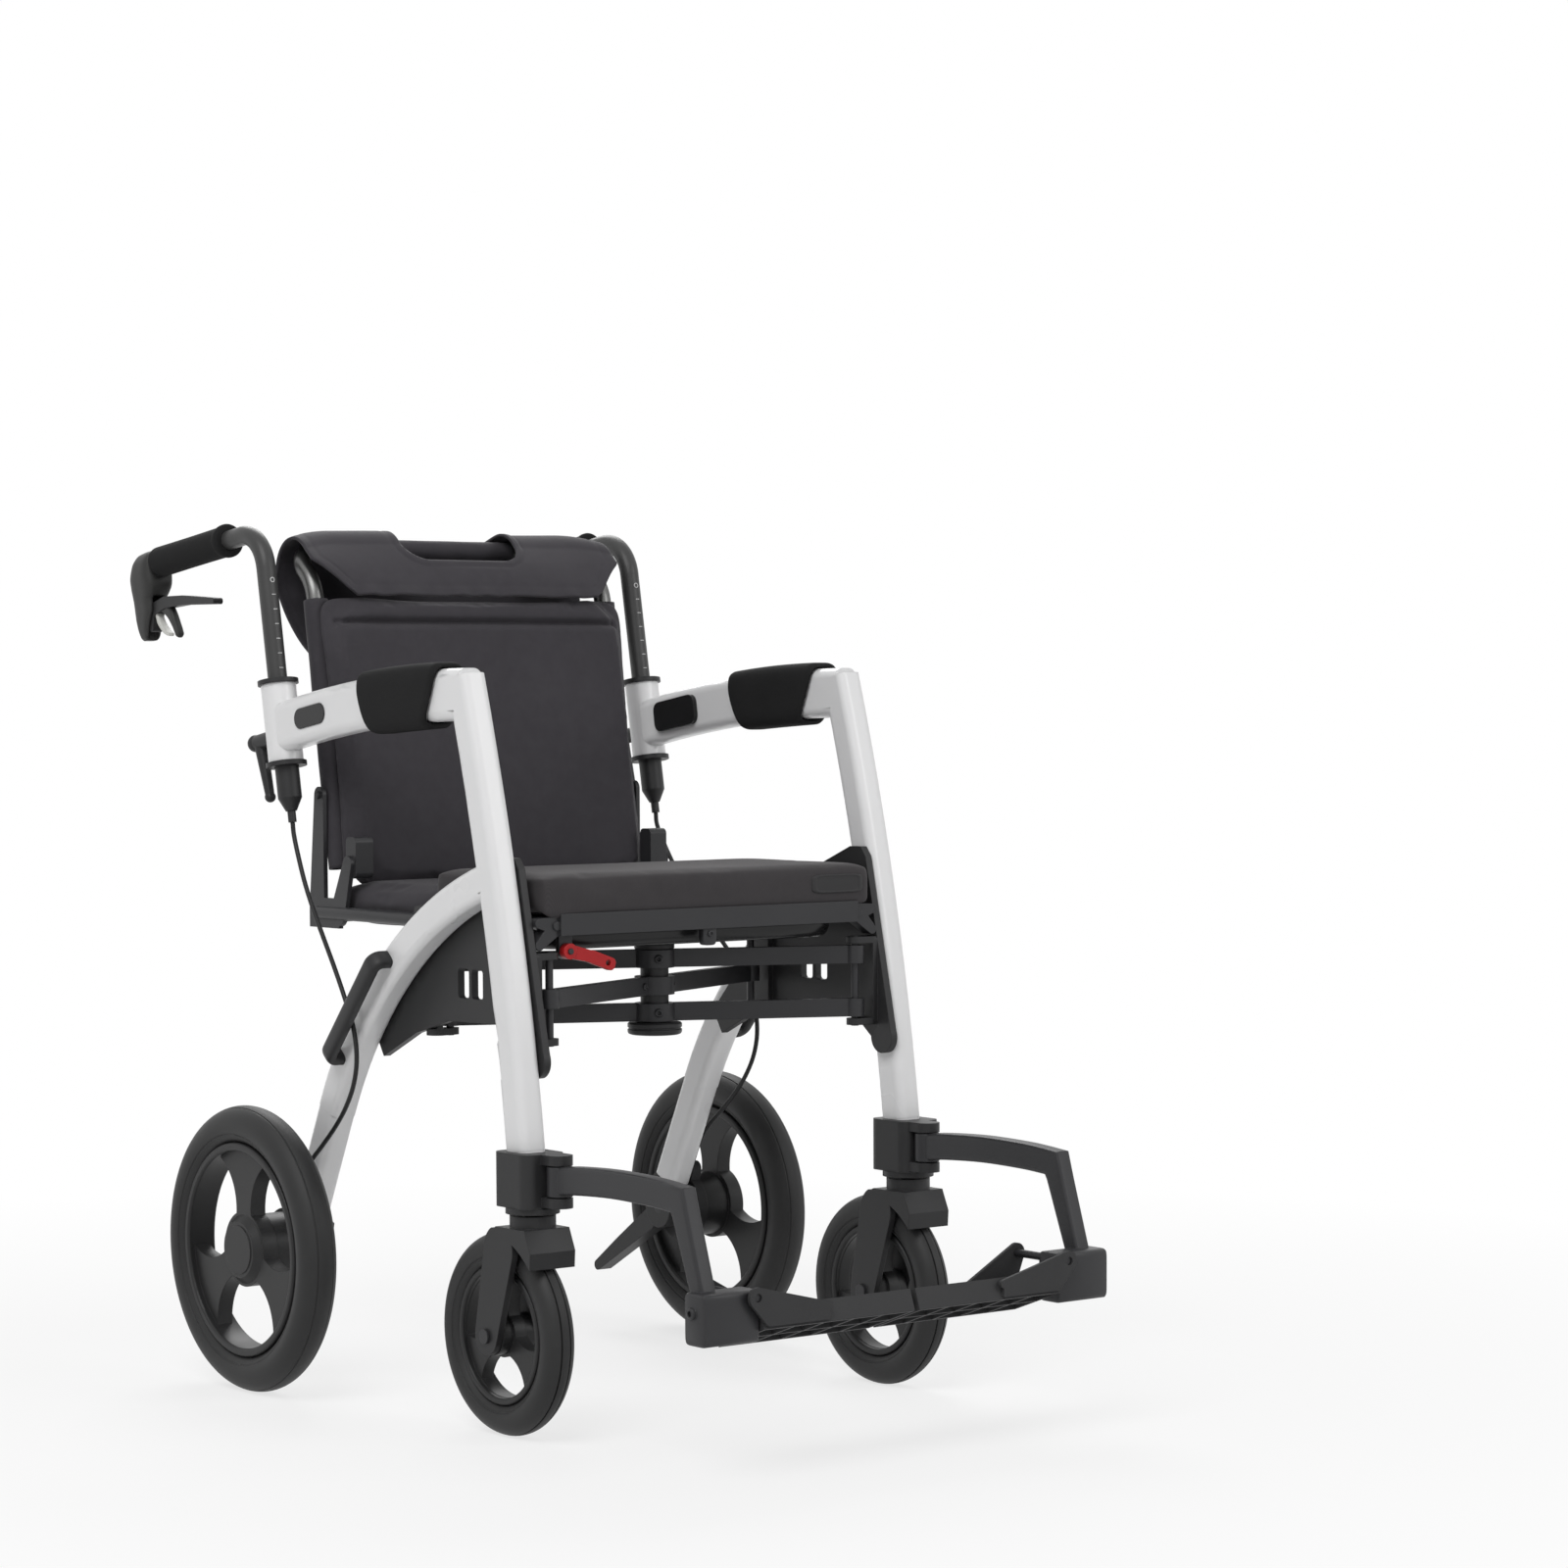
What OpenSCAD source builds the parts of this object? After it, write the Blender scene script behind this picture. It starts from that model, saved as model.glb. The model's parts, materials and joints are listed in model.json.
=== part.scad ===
// Rollator transport chair: a folding walking frame set up as a push chair.
// Lengths are in millimetres. x runs forward from the rear axle, y to the sitter's
// left and z up from the floor. The last lines centre the whole part over its origin.

/* [Wheels] */
// Diameter of a rear wheel over its tyre
rear_wheel_d = 305; // [290:1:320]
// Width of a rear tyre
rear_tyre_w = 42; // [36:1:46]
// Distance from the middle plane of a side frame out to the middle of its rear wheel
rear_wheel_out = 69; // [66:0.5:80]
// Diameter of a front wheel over its tyre
front_wheel_d = 204; // [190:1:208]
// Width of a front tyre
front_tyre_w = 34; // [28:1:36]
// Distance from the rear axle forward to the front swivels
swivel_x = 428; // [415:1:440]
// Distance that a front axle trails behind its swivel
caster_trail = 45; // [38:1:50]
// Diameter of the rear axles
axle_d = 12; // [10:0.5:14]
// Diameter of the caster swivel pins
swivel_pin_d = 14; // [12:0.5:16]

/* [Side frames] */
// Distance between the middle planes of the two side frames
frame_span = 482; // [478:1:490]
// Thickness of the frame tube, across the chair
tube_t = 30; // [26:1:32]
// Width of the post and leg tube, along the chair
tube_w = 36; // [32:1:40]
// Corner radius of the frame tube
tube_corner = 9; // [6:0.5:11]
// Depth of the armrest beam
arm_h = 53; // [46:1:58]
// Height of the middle of the armrest beam at the front post
arm_z = 738; // [725:1:750]
// Height of the foot of the front post
post_foot_z = 288; // [280:1:296]
// Backward lean of the front post at its foot, in degrees
post_lean = 7; // [5:0.5:8]
// Lean that the post gains up to the armrest, in degrees
post_gain = 10; // [8:0.5:11]
// Radius of the arch of the rear leg
leg_bend_r = 480; // [465:1:490]
// Wall of the soft sleeve on each armrest
pad_wall = 4; // [3:0.5:5]
// Length of the soft sleeve along the armrest
pad_len = 128; // [110:1:140]

/* [Handles] */
// Diameter of the handle stem
stem_d = 21; // [19:0.5:22]
// Backward lean of the stem, in degrees
stem_lean = 10; // [8:0.5:12]
// Outer diameter of the sleeve that holds the stem
sleeve_d = 38; // [36:0.5:42]
// Length of the sleeve
sleeve_len = 84; // [80:1:90]
// Length of straight stem above the sleeve
stem_rise = 127; // [112:1:140]
// Middle radius of the bend above the stem
stem_bend_r = 44; // [38:1:50]
// Diameter of the soft grip
grip_d = 34; // [30:0.5:36]
// Length of the soft grip
grip_len = 156; // [140:1:170]

/* [Seat] */
// Gap between the seat cushion and the side panel at each side
seat_gap = 12; // [10:0.5:18]
// Depth of the seat cushion, front to back
seat_depth = 208; // [195:1:215]
// Height of the front edge of the cushion above the floor
seat_top = 556; // [550:1:562]
// Thickness of the seat cushion at its edge
cushion_h = 36; // [30:1:40]

/* [Backrest] */
// Gap between the backrest and the side panel at each side
back_gap = 10; // [9:0.5:18]
// Backward lean of the backrest, in degrees
back_lean = 9; // [7:0.5:11]
// Diameter of the backrest tube
back_tube_d = 19; // [16:0.5:20]
// Height of the top of the backrest above the floor
back_top = 914; // [904:1:925]
// Thickness of the padded panel at its edge
panel_t = 16; // [12:1:18]

/* [Cross linkage] */
// Height of the linkage bars
bar_h = 19; // [16:1:20]
// Thickness of the linkage bars
bar_t = 10; // [8:1:11]
// Height of the middle of the linkage
linkage_z = 435; // [430:1:440]
// Diameter of the middle pivot column
column_d = 42; // [38:1:46]

/* [Footrests] */
// Width of the footrest tube
foot_tube_w = 26; // [22:1:28]
// Forward reach of the footrest from its swing pin
foot_reach = 226; // [210:1:235]
// Depth of a footplate, front to back
plate_depth = 82; // [74:1:90]
// Height of the underside of a footplate above the floor
plate_z = 130; // [118:1:140]

/* [Hidden] */
$fn = 96;

// Clearances: sliding and turning fits, moving faces, and soft solids near hard ones
fit_gap = 0.06;
move_gap = 0.5;
soft_gap = 0.4;

// Frame places, on the right hand side
frame_y = -frame_span / 2;
frame_in = frame_y + tube_t / 2;
frame_out = frame_y - tube_t / 2;
post_foot_x = swivel_x - 11;
post_over = 16.96134;
post_len = (arm_z + post_over - post_foot_z) * post_gain * PI / 180 / (sin(post_lean + post_gain) -
    sin(post_lean));
post_bend_r = post_len / (post_gain * PI / 180);
arm_bend_r = 1900;
arm_len = 365;
arm_corner = tube_corner + 1.5;
leg_corner = tube_corner - 1;

// The arch leaves leg_start on the post and runs into a straight tail that ends at leg_foot, above the
// rear axle
leg_start = [364, 553];
leg_tail = 128;
leg_foot = [8.77328, rear_wheel_d / 2 + 34.4669];
leg_line = leg_foot - leg_start;
leg_far = norm([leg_bend_r, leg_tail]);
leg_along = (pow(leg_bend_r, 2) - pow(leg_far, 2) + leg_line * leg_line) / (2 * norm(leg_line));
leg_aside = sqrt(pow(leg_bend_r, 2) - pow(leg_along, 2));
leg_centre = leg_start + (leg_along * leg_line + leg_aside * [-leg_line[1], leg_line[0]]) / norm(leg_line);
leg_foot_way = (atan2(leg_foot[1] - leg_centre[1], leg_foot[0] - leg_centre[0]) + 360) % 360;
leg_start_dip = atan2(leg_centre[0] - leg_start[0], leg_start[1] - leg_centre[1]);
leg_end_dip = leg_foot_way - 90 - atan2(leg_tail, leg_bend_r);

// Middle line of the post at a length s up from its foot: [x, z, lean]
function post_at(s) =
    let (a = post_lean + post_gain * s / post_len)
    [post_foot_x - post_bend_r * (cos(post_lean) - cos(a)),
     post_foot_z + post_bend_r * (sin(a) - sin(post_lean)), a];

post_top = post_at(post_len);
arm_start_x = post_at(post_len - arm_h / 2)[0];

// Middle line of the armrest at a length s back from the post: [x, z, dip]
function arm_at(s) =
    let (a = s / arm_bend_r * 180 / PI)
    [arm_start_x - arm_bend_r * sin(a), arm_z - arm_bend_r * (1 - cos(a)), a];

// Middle line of the leg arch at a dip angle a: [x, z]
function leg_at(a) =
    [leg_start[0] - leg_bend_r * (sin(a) - sin(leg_start_dip)),
     leg_start[1] - leg_bend_r * (cos(leg_start_dip) - cos(a))];

leg_knee = leg_at(leg_end_dip);

// Sleeve and handle
sleeve_mid = [arm_at(arm_len)[0], arm_at(arm_len)[1] + 6];
guide_d = stem_d + 5;
guide_drop = 48;
boot_len = 12;
boot_d = 9;
guide_shank = 60;
collar_h = 5;
collar_wall = 3;
stem_low = -sleeve_len / 2 - 10;
stem_top = sleeve_len / 2 + stem_rise;
bend_angle = 87;
bend_swell = 0.1;
neck_len = 28;
hood_len = 40;
hood_drop = 84;
hood_w = 38;
hood_round = 12;
hood_peak = 10;
lever_pivot = [-52, 0, -hood_len / 2 - 2];
lever_pin_d = 6;
clamp_z = -12;
clamp_reach = 62;

// Wheels
rear_r = rear_wheel_d / 2;
rear_tube_r = rear_tyre_w / 2;
rear_track = frame_span + 2 * rear_wheel_out;
rear_y = -rear_track / 2;
rear_rim_r = rear_r - 2 * rear_tube_r + 5;
front_r = front_wheel_d / 2;
front_tube_r = front_tyre_w / 2;
front_rim_r = front_r - 2 * front_tube_r + 4;
front_axle_x = swivel_x - caster_trail;
fork_half = front_tyre_w / 2 + 10;
fork_wall = 7;
fork_top = front_wheel_d + 22;
head_gap = 2;
head_flange = 6;
head_low = fork_top + head_gap;
post_seat = 16;
spigot_step = 0.3;
swivel_pin_len = 30;
bolt_d = 9;
drum_r = 40;
fin_tip = [19, rear_r + 44];
fin_r = 9;
fin_top = fin_tip[1] + fin_r + 1.2;
drum_wall = 12;
axle_end = 10;

// Seat and side panels
panel_wall = 8;
panel_in = frame_in + panel_wall;
seat_w = 2 * (-panel_in - seat_gap);
back_w = 2 * (-panel_in - back_gap);
seat_front = 411;
seat_back = seat_front - seat_depth;
rail_h = 20;
rail_t = 22;
rail_gap = 2;
rail_z = seat_top - cushion_h - rail_h - rail_gap;
rail_x = seat_front - rail_t - 3;
rail_inset = 28;
rail_half = -panel_in - rail_inset;

// Backrest carrier
carrier_y = back_w / 2 + 2;
carrier_wall = 5;
panel_w = 2 * (carrier_y - carrier_wall) - 3;
carrier_rod_d = 14;
carrier_rod_z = 506;
back_pin = [-16, 632];
back_pin_d = 8;
tube_half = back_w / 2 - back_tube_d / 2 - 8;
tube_below = 74;
flap_t = 5;
flap_r = back_tube_d / 2 + soft_gap;
tube_corner_r = 40;
tube_back = 40;
tube_back_r = 45;
tube_neck = 6;
extension_back = -4;
extension_h = 36;

// Cross linkage
pivot_x = 305;
pivot_front = 395;
pivot_inset = 22;
pivot_half = -panel_in - pivot_inset;
pin_d = 8;
cross_angle = atan2(pivot_half, pivot_front - pivot_x);
cross_half = norm([pivot_half, pivot_front - pivot_x]);
bar_step = 28;

// Footrests
swing_d = 26;
head_back = swivel_x - 35;
head_front = swivel_x + 25;
head_w = 50;
swing_x = head_front + swing_d / 2 + move_gap;
swing_y = frame_y + 6;
swing_pin_d = 10;
swing_z = post_foot_z - 26;
foot_lean = 7;
foot_x = swing_x + foot_reach;
flip_y = swing_y + 40;
flip_z = plate_z + 44;
flip_pin_d = 8;
yoke_w = 32;
yoke_lip = 7;
yoke_x = foot_x + 16;
plate_front = yoke_x + yoke_w / 2 + 7;
plate_wall = 4;
plate_h = 22;
plate_end = -3;
plate_tilt = 20;
plate_hump = 78;

// Brake cable: outer diameter, where it leaves the boot, and its route down the right leg to the brake
cable_d = 5;
boot_end = sleeve_len / 2 + collar_h + guide_drop + boot_len + soft_gap;
cable_top = [sleeve_mid[0] + boot_end * sin(stem_lean), frame_y, sleeve_mid[1] - boot_end * cos(stem_lean)];
cable_way = [sin(stem_lean), 0, -cos(stem_lean)];
cable_route = [cable_top, cable_top + 14 * cable_way, [-4, -243, 566], [14, -246, 538], [36, -249, 510],
    [62, -253, 482], [90, -258, 454], [116, -262, 424], [134, -263, 394], [140, -263, 364], [134, -263,
        336],
    [118, -263, 310], [96, -263, 287], [71, -263, 266], [47, -263, 247], [31, -262.5, 227],
        [fin_tip[0] + 2, -262, fin_top]];

// The middle of the part's length, which the origin stands under
grip_way = stem_lean + bend_angle;
bend_end_x = sleeve_mid[0] - stem_top * sin(stem_lean)
    - stem_bend_r * ((1 - cos(bend_angle)) * cos(stem_lean) + sin(bend_angle) * sin(stem_lean));
hood_x = bend_end_x - (neck_len + grip_len) * sin(grip_way);
part_back = hood_x - (hood_len - hood_round) * sin(grip_way) + hood_peak * cos(grip_way) - hood_round;
part_front = plate_front;
origin_x = (part_front + part_back) / 2;

// A shape drawn for the right hand side, or mirrored to the left
module on_side(left) {
    if (left) mirror([0, 1, 0]) children();
    else children();
}

module both_sides() {
    children();
    mirror([0, 1, 0]) children();
}

// A rectangle with round corners, centred
module rounded_rect(w, h, r) {
    square([w - 2 * r, h], center = true);
    square([w, h - 2 * r], center = true);
    for (x = [-1, 1], y = [-1, 1])
        translate([x * (w / 2 - r), y * (h / 2 - r)]) circle(r);
}

// Two circles joined by their common tangents
module link_outline(p, rp, q, rq) {
    d = q - p;
    a = atan2(d[1], d[0]);
    k = acos((rp - rq) / norm(d));
    translate(p) circle(rp);
    translate(q) circle(rq);
    polygon([for (e = [[p, rp, 1], [p, rp, -1], [q, rq, -1], [q, rq, 1]])
        e[0] + e[1] * [cos(a + e[2] * k), sin(a + e[2] * k)]]);
}

// A profile carried up z and bent towards +x: each step is [straight length, bend angle, bend radius]
module bent(steps, i = 0) {
    if (i < len(steps)) {
        run = steps[i][0];
        a = steps[i][1];
        r = steps[i][2];
        way = a < 0 ? -1 : 1;
        if (run > 0) linear_extrude(run) children();
        translate([0, 0, run]) {
            if (a != 0)
                translate([way * r, 0, 0]) rotate([90, 0, 0])
                    rotate(way > 0 ? 180 - a : 0) rotate_extrude(angle = abs(a))
                        translate([r, 0]) children();
            translate([way * r * (1 - cos(a)), 0, r * sin(abs(a))]) rotate([0, a, 0])
                bent(steps, i + 1) children();
        }
    }
}

// A tube standing across the chair, from y0 to y1
module across(y0, y1) {
    translate([0, max(y0, y1), 0]) rotate([90, 0, 0]) linear_extrude(abs(y1 - y0)) children();
}

module ring(outer, inner, h) {
    difference() {
        cylinder(d = outer, h = h, center = true);
        cylinder(d = inner, h = h + 2, center = true);
    }
}

// The handle's own frame: z up the stem, x forward, with the middle of the sleeve at its origin
module in_sleeve() {
    translate([sleeve_mid[0], frame_y, sleeve_mid[1]]) rotate([0, -stem_lean, 0]) children();
}

// The grip's own frame: z back along the grip from the end of the bend
module in_grip() {
    in_sleeve() translate([0, 0, stem_top])
        translate([-stem_bend_r * (1 - cos(bend_angle)), 0, stem_bend_r * sin(bend_angle)])
            rotate([0, -bend_angle, 0]) children();
}

// Points of a padded form: a grid with a crown in front, drawn-in sides and an optional sewn channel
pad_n = 17;
function pad_u(i) = sin(90 * (2 * i / (pad_n - 1) - 1));
function pad_xy(u, v, w, d, draw) =
    [u * (w / 2 - draw * (1 - v * v)), v * (d / 2 - draw * (1 - u * u))];
function pad_z(u, v, h, crown, channel_v, channel) =
    h + crown * (1 - pow(u, 6)) * (1 - pow(v, 6)) - channel * exp(-pow((v - channel_v) / 0.035, 2))
    * (1 - pow(u, 8));

module padded(w, d, h, crown, draw, channel_v = 2, channel = 0) {
    n = pad_n;
    front = [for (j = [0:n - 1], i = [0:n - 1]) let (u = pad_u(i), v = pad_u(j))
        concat(pad_xy(u, v, w, d, draw), [pad_z(u, v, h, crown, channel_v, channel)])];
    back = [for (p = front) [p[0], p[1], 0]];
    m = n * n;
    quads = [for (j = [0:n - 2], i = [0:n - 2]) [j * n + i, j * n + i + 1, (j + 1) * n + i + 1,
        (j + 1) * n + i]];
    rim = concat([for (i = [0:n - 2]) [i, i + 1]], [for (j = [0:n - 2]) [j * n + n - 1,
        (j + 1) * n + n - 1]],
        [for (i = [0:n - 2]) [m - 1 - i, m - 2 - i]], [for (j = [0:n - 2]) [(n - 1 - j) * n,
            (n - 2 - j) * n]]);
    polyhedron(concat(front, back), concat(
        [for (q = quads) each [[q[0], q[2], q[1]], [q[0], q[3], q[2]]]],
        [for (q = quads) each [[m + q[0], m + q[1], m + q[2]], [m + q[0], m + q[2], m + q[3]]]],
        [for (e = rim) each [[e[0], e[1], m + e[1]], [e[0], m + e[1], m + e[0]]]]));
}

// A round cord swept along its route as one closed tube
function route_way(p, i) = let (a = p[max(i - 1, 0)], b = p[min(i + 1, len(p) - 1)]) (b - a) / norm(b - a);
module swept_cord(route, d, sides = 8) {
    rings = [for (i = [0:len(route) - 1])
        let (t = route_way(route, i), q = cross([0, 1, 0], t), s = q / norm(q), w = cross(t, s))
        for (k = [0:sides - 1]) route[i] + d / 2 * (cos(360 * k / sides) * s + sin(360 * k / sides) * w)];
    n = len(route);
    polyhedron(rings, concat(
        [[for (k = [0:sides - 1]) k]],
        [[for (k = [sides - 1:-1:0]) (n - 1) * sides + k]],
        [for (i = [0:n - 2], k = [0:sides - 1]) let (a = i * sides + k, b = i * sides + (k + 1) % sides)
            each [[a, b + sides, b], [a, a + sides, b + sides]]]));
}

// Points along a smooth curve through the chosen ones
function smooth_route(p) = [for (i = [0:len(p) - 2], t = [0, 0.5])
    let (a = p[max(i - 1, 0)], b = p[i], c = p[i + 1], e = p[min(i + 2, len(p) - 1)])
    0.5 * (2 * b + (c - a) * t + (2 * a - 5 * b + 4 * c - e) * t * t + (3 * b - a - 3 * c + e) * pow(t, 3)),
    p[len(p) - 1]];

// One welded side frame: post, armrest beam, arched leg and stem sleeve
module side_frame(left) {
    color("white") on_side(left) difference() {
        union() {
            post_bar(post_seat);
            translate([arm_start_x, frame_y, arm_z]) rotate([0, -90, 0])
                bent([[0, -arm_len / arm_bend_r * 180 / PI, arm_bend_r]])
                    rounded_rect(arm_h, tube_t, arm_corner);
            translate([leg_start[0], frame_y, leg_start[1]]) rotate([0, -90 - leg_start_dip, 0])
                bent([[0, leg_start_dip - leg_end_dip, leg_bend_r]]) rounded_rect(tube_w, tube_t,
                    leg_corner);
            translate([leg_knee[0], frame_y, leg_knee[1]]) rotate([0, -90 - leg_end_dip, 0])
                translate([0, 0, -2]) linear_extrude(leg_tail + 2) spigot_outline();
            in_sleeve() cylinder(d = sleeve_d, h = sleeve_len, center = true);
        }
        in_sleeve() cylinder(d = guide_d, h = 2 * sleeve_len, center = true);
        in_sleeve() translate([-sleeve_d / 2, 0, clamp_z]) rotate([0, 90, 0])
            cylinder(d = clamp_screw_d, h = sleeve_d, center = true);
        lock_place() across(-tube_t, tube_t) lock_outline(move_gap / 2);
    }
}

clamp_screw_d = 8;

// The pill-shaped swivel lock let through each armrest beam behind the pad
lock_len = 60;
lock_h = 21;
lock_proud = 1.2;
module lock_place() {
    p = arm_at(arm_len - 82);
    translate([p[0], frame_y, p[1]]) rotate([0, -p[2], 0]) children();
}
module lock_outline(grow) {
    rounded_rect(lock_len + 2 * grow, lock_h + 2 * grow, lock_h / 2 + grow - 0.01);
}
module swivel_lock_covers() {
    color("dimgray") both_sides() lock_place() {
        across(-tube_t / 2 - lock_proud, tube_t / 2) lock_outline(0);
        across(tube_t / 2, tube_t / 2 + 5) rounded_rect(lock_len + 16, lock_h + 12, 10);
    }
}

// Soft sleeve round the armrest beam
module arm_pad(left) {
    start = 36;
    p = arm_at(start);
    color("black") on_side(left) translate([p[0], frame_y, p[1]]) rotate([0, -90 - p[2], 0])
        bent([[0, -pad_len / arm_bend_r * 180 / PI, arm_bend_r]]) difference() {
            rounded_rect(arm_h + 2 * pad_wall, tube_t + 2 * pad_wall, tube_corner + pad_wall);
            rounded_rect(arm_h + 2 * soft_gap, tube_t + 2 * soft_gap, tube_corner + soft_gap);
        }
}

// Collars at both ends of each sleeve
module sleeve_collars() {
    color("black") both_sides() in_sleeve() for (e = [-1, 1])
        translate([0, 0, e * (sleeve_len + collar_h) / 2])
            ring(sleeve_d + 2 * collar_wall, guide_d + 2 * move_gap, collar_h);
}

// Moulded panel between the post and the leg, with lugs for the linkage pins and a backrest socket
pin_lug_h = 7;
pin_reach = bar_step + bar_h / 2 + 2;
module panel_outline() {
    top = post_at(290);
    low = post_at(88);
    edge = tube_w / 2 + 6;
    difference() {
        union() {
            polygon([[top[0] + edge - 12, top[1] + 2], [top[0] + edge - 4, top[1] - 8], [low[0] + edge,
                low[1]],
                [low[0] + edge - 34, low[1]], [352, 408], [258, 406], [196, 390], [134, 362], leg_at(52),
                leg_at(40), [192, 496], [196, carrier_rod_z + 15], [250, carrier_rod_z + 22], [296, 550],
                [top[0] + edge - 30, top[1] + 2]]);
            translate([low[0] + edge - 17, low[1]]) circle(17);
        }
        for (x = [286, 311]) translate([x, 446]) rounded_rect(20, 30, 4);
    }
}
module side_panel(left) {
    color("dimgray") on_side(left) difference() {
        union() {
            across(frame_in, panel_in) panel_outline();
            for (x = [pivot_front, 2 * pivot_x - pivot_front]) {
                across(panel_in, panel_in + 6) translate([x, linkage_z])
                    rounded_rect(22, 2 * (pin_reach + pin_lug_h), 4);
                for (e = [-1, 1]) translate([x, 0, linkage_z + e * (pin_reach + pin_lug_h / 2)])
                    linear_extrude(pin_lug_h, center = true) link_outline([0, panel_in + 6], 11, [0,
                        -pivot_half], 9);
            }
            across(panel_in, -carrier_y + 12) translate([seat_back + 18,
                carrier_rod_z]) rounded_rect(44, 23, 6);
        }
        translate([seat_back - 30, -carrier_y + 2, carrier_rod_z]) rotate([0, 90, 0])
            cylinder(d = carrier_rod_d + 2 * fit_gap, h = 66);
        for (x = [pivot_front, 2 * pivot_x - pivot_front]) translate([x, -pivot_half, linkage_z])
            cylinder(d = pin_d, h = 200, center = true);
        across(frame_y, frame_in) panel_outline();
    }
}

// Head block at the foot of each post, which carries the caster and the footrest hanger
module spigot_outline() {
    rounded_rect(tube_w - spigot_step, tube_t - spigot_step, tube_corner);
}
module post_bar(below) {
    translate([post_foot_x, frame_y, post_foot_z]) rotate([0, -post_lean, 0]) {
        translate([0, 0, -below]) linear_extrude(below + 2) spigot_outline();
        bent([[0, -post_gain, post_bend_r]]) rounded_rect(tube_w, tube_t, tube_corner);
    }
}
module caster_heads() {
    h = post_foot_z - head_low - head_flange;
    lug_h = 10;
    color("black") both_sides() difference() {
        union() {
            translate([swivel_x, frame_y, head_low]) cylinder(d = 54, h = head_flange);
            translate([(head_back + head_front) / 2, frame_y, head_low + head_flange]) linear_extrude(h)
                rounded_rect(head_front - head_back, head_w, 12);
            for (z = [swing_z - 26, swing_z + 16]) translate([0, 0, z]) linear_extrude(lug_h) {
                translate([swing_x, swing_y]) circle(d = swing_d);
                translate([head_front - 14, swing_y - swing_d / 2]) square([swing_x - head_front + 14,
                    swing_d]);
            }
            translate([swing_x, swing_y, swing_z - 20]) cylinder(d = swing_pin_d, h = 40);
        }
        translate([swivel_x, frame_y, head_low - 1])
            cylinder(d = swivel_pin_d + 2 * fit_gap, h = swivel_pin_len + 4);
        post_bar(post_seat);
    }
}

// Casting at the foot of each rear leg, which holds the axle
foot_boss_r = 23;
module leg_feet() {
    color("black") both_sides() difference() {
        across(frame_out, frame_in) union() {
            link_outline([0, rear_r], foot_boss_r, leg_foot + [-4, -14], 21);
            link_outline([0, rear_r], foot_boss_r, leg_foot + [4, -10], 19);
        }
        translate([leg_foot[0], frame_y, leg_foot[1]]) rotate([0, -90 - leg_end_dip, 0])
            translate([0, 0, -60]) linear_extrude(60) square([2 * tube_w, 2 * tube_t], center = true);
        translate([0, 0, rear_r]) rotate([90, 0, 0]) cylinder(d = axle_d, h = rear_track, center = true);
    }
}

module rear_axles() {
    color("silver") both_sides() translate([0, frame_in, rear_r]) rotate([90, 0, 0])
        cylinder(d = axle_d, h = frame_in - rear_y + axle_end);
}

// Fixed backing plate of each drum brake
module brake_plates() {
    color("black") both_sides() difference() {
        union() {
            translate([0, frame_out, rear_r]) rotate([90, 0, 0]) cylinder(r = drum_r, h = drum_wall);
            across(frame_out - drum_wall, frame_out) link_outline([0, rear_r], 14, fin_tip, fin_r);
        }
        translate([0, 0, rear_r]) rotate([90, 0, 0]) cylinder(d = axle_d, h = rear_track, center = true);
    }
}

// Bowed grab bar on the outer side of each rear leg
loop_d = 13;
module leg_loops() {
    top = leg_at(40);
    low = leg_at(57);
    rise = 20;
    span = norm(top - low);
    tilt = atan2(top[0] - low[0], top[1] - low[1]);
    color("black") both_sides() translate([low[0] - 14, frame_out - rise, low[1] + 8]) rotate([0, tilt,
        0]) {
        cylinder(d = loop_d, h = span);
        for (z = [0, span]) translate([0, 0, z]) {
            sphere(d = loop_d);
            rotate([-90, 0, 0]) cylinder(d = loop_d, h = rise);
        }
    }
}

// Foot lever for tipping the chair up a kerb, on the left leg
module tipping_lever() {
    color("dimgray") mirror([0, 1, 0]) across(frame_y - 9, frame_y + 9) difference() {
        union() {
            link_outline([-26, 136], 12, [-84, 100], 9);
            link_outline([-84, 100], 9, [-128, 72], 6);
        }
        translate([0, rear_r]) circle(foot_boss_r);
    }
}

module brake_cable(left) {
    color("black") on_side(left) swept_cord(smooth_route(cable_route), cable_d);
}

// Linkage under the seat: an upper and a lower bar cross a middle bar on one column
module cross_bar(z) {
    translate([0, 0, z]) difference() {
        union() {
            translate([-cross_half, -bar_t / 2, -bar_h / 2]) cube([2 * cross_half, bar_t, bar_h]);
            for (e = [-1, 0, 1]) translate([e * cross_half, 0, 0])
                cylinder(d = e == 0 ? column_d : 2 * bar_t, h = bar_h, center = true);
        }
        for (e = [-1, 1]) translate([e * cross_half, 0, 0])
            cylinder(d = pin_d + 2 * fit_gap, h = 2 * bar_h, center = true);
        cylinder(d = column_d - 12, h = 2 * bar_h, center = true);
    }
}

module double_cross_arm() {
    color("dimgray") translate([pivot_x, 0, linkage_z]) rotate(cross_angle)
        for (z = [-bar_step, bar_step]) cross_bar(z);
}

module single_cross_arm() {
    color("dimgray") translate([pivot_x, 0, linkage_z]) rotate(-cross_angle) cross_bar(0);
}

module pivot_column() {
    h = 2 * bar_step + bar_h;
    color("black") translate([pivot_x, 0, linkage_z]) {
        cylinder(d = column_d - 12.4, h = h + 12, center = true);
        translate([0, 0, -h / 2 - 14]) cylinder(d = 84, h = 13);
        translate([0, 0, h / 2 + 0.4]) cylinder(d = column_d, h = 6);
    }
}

module linkage_pins() {
    color("silver") for (x = [-1, 1], y = [-1, 1])
        translate([pivot_x + x * (pivot_front - pivot_x), y * pivot_half, linkage_z])
            cylinder(d = pin_d, h = 2 * (pin_reach + pin_lug_h) + 2, center = true);
}

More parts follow.
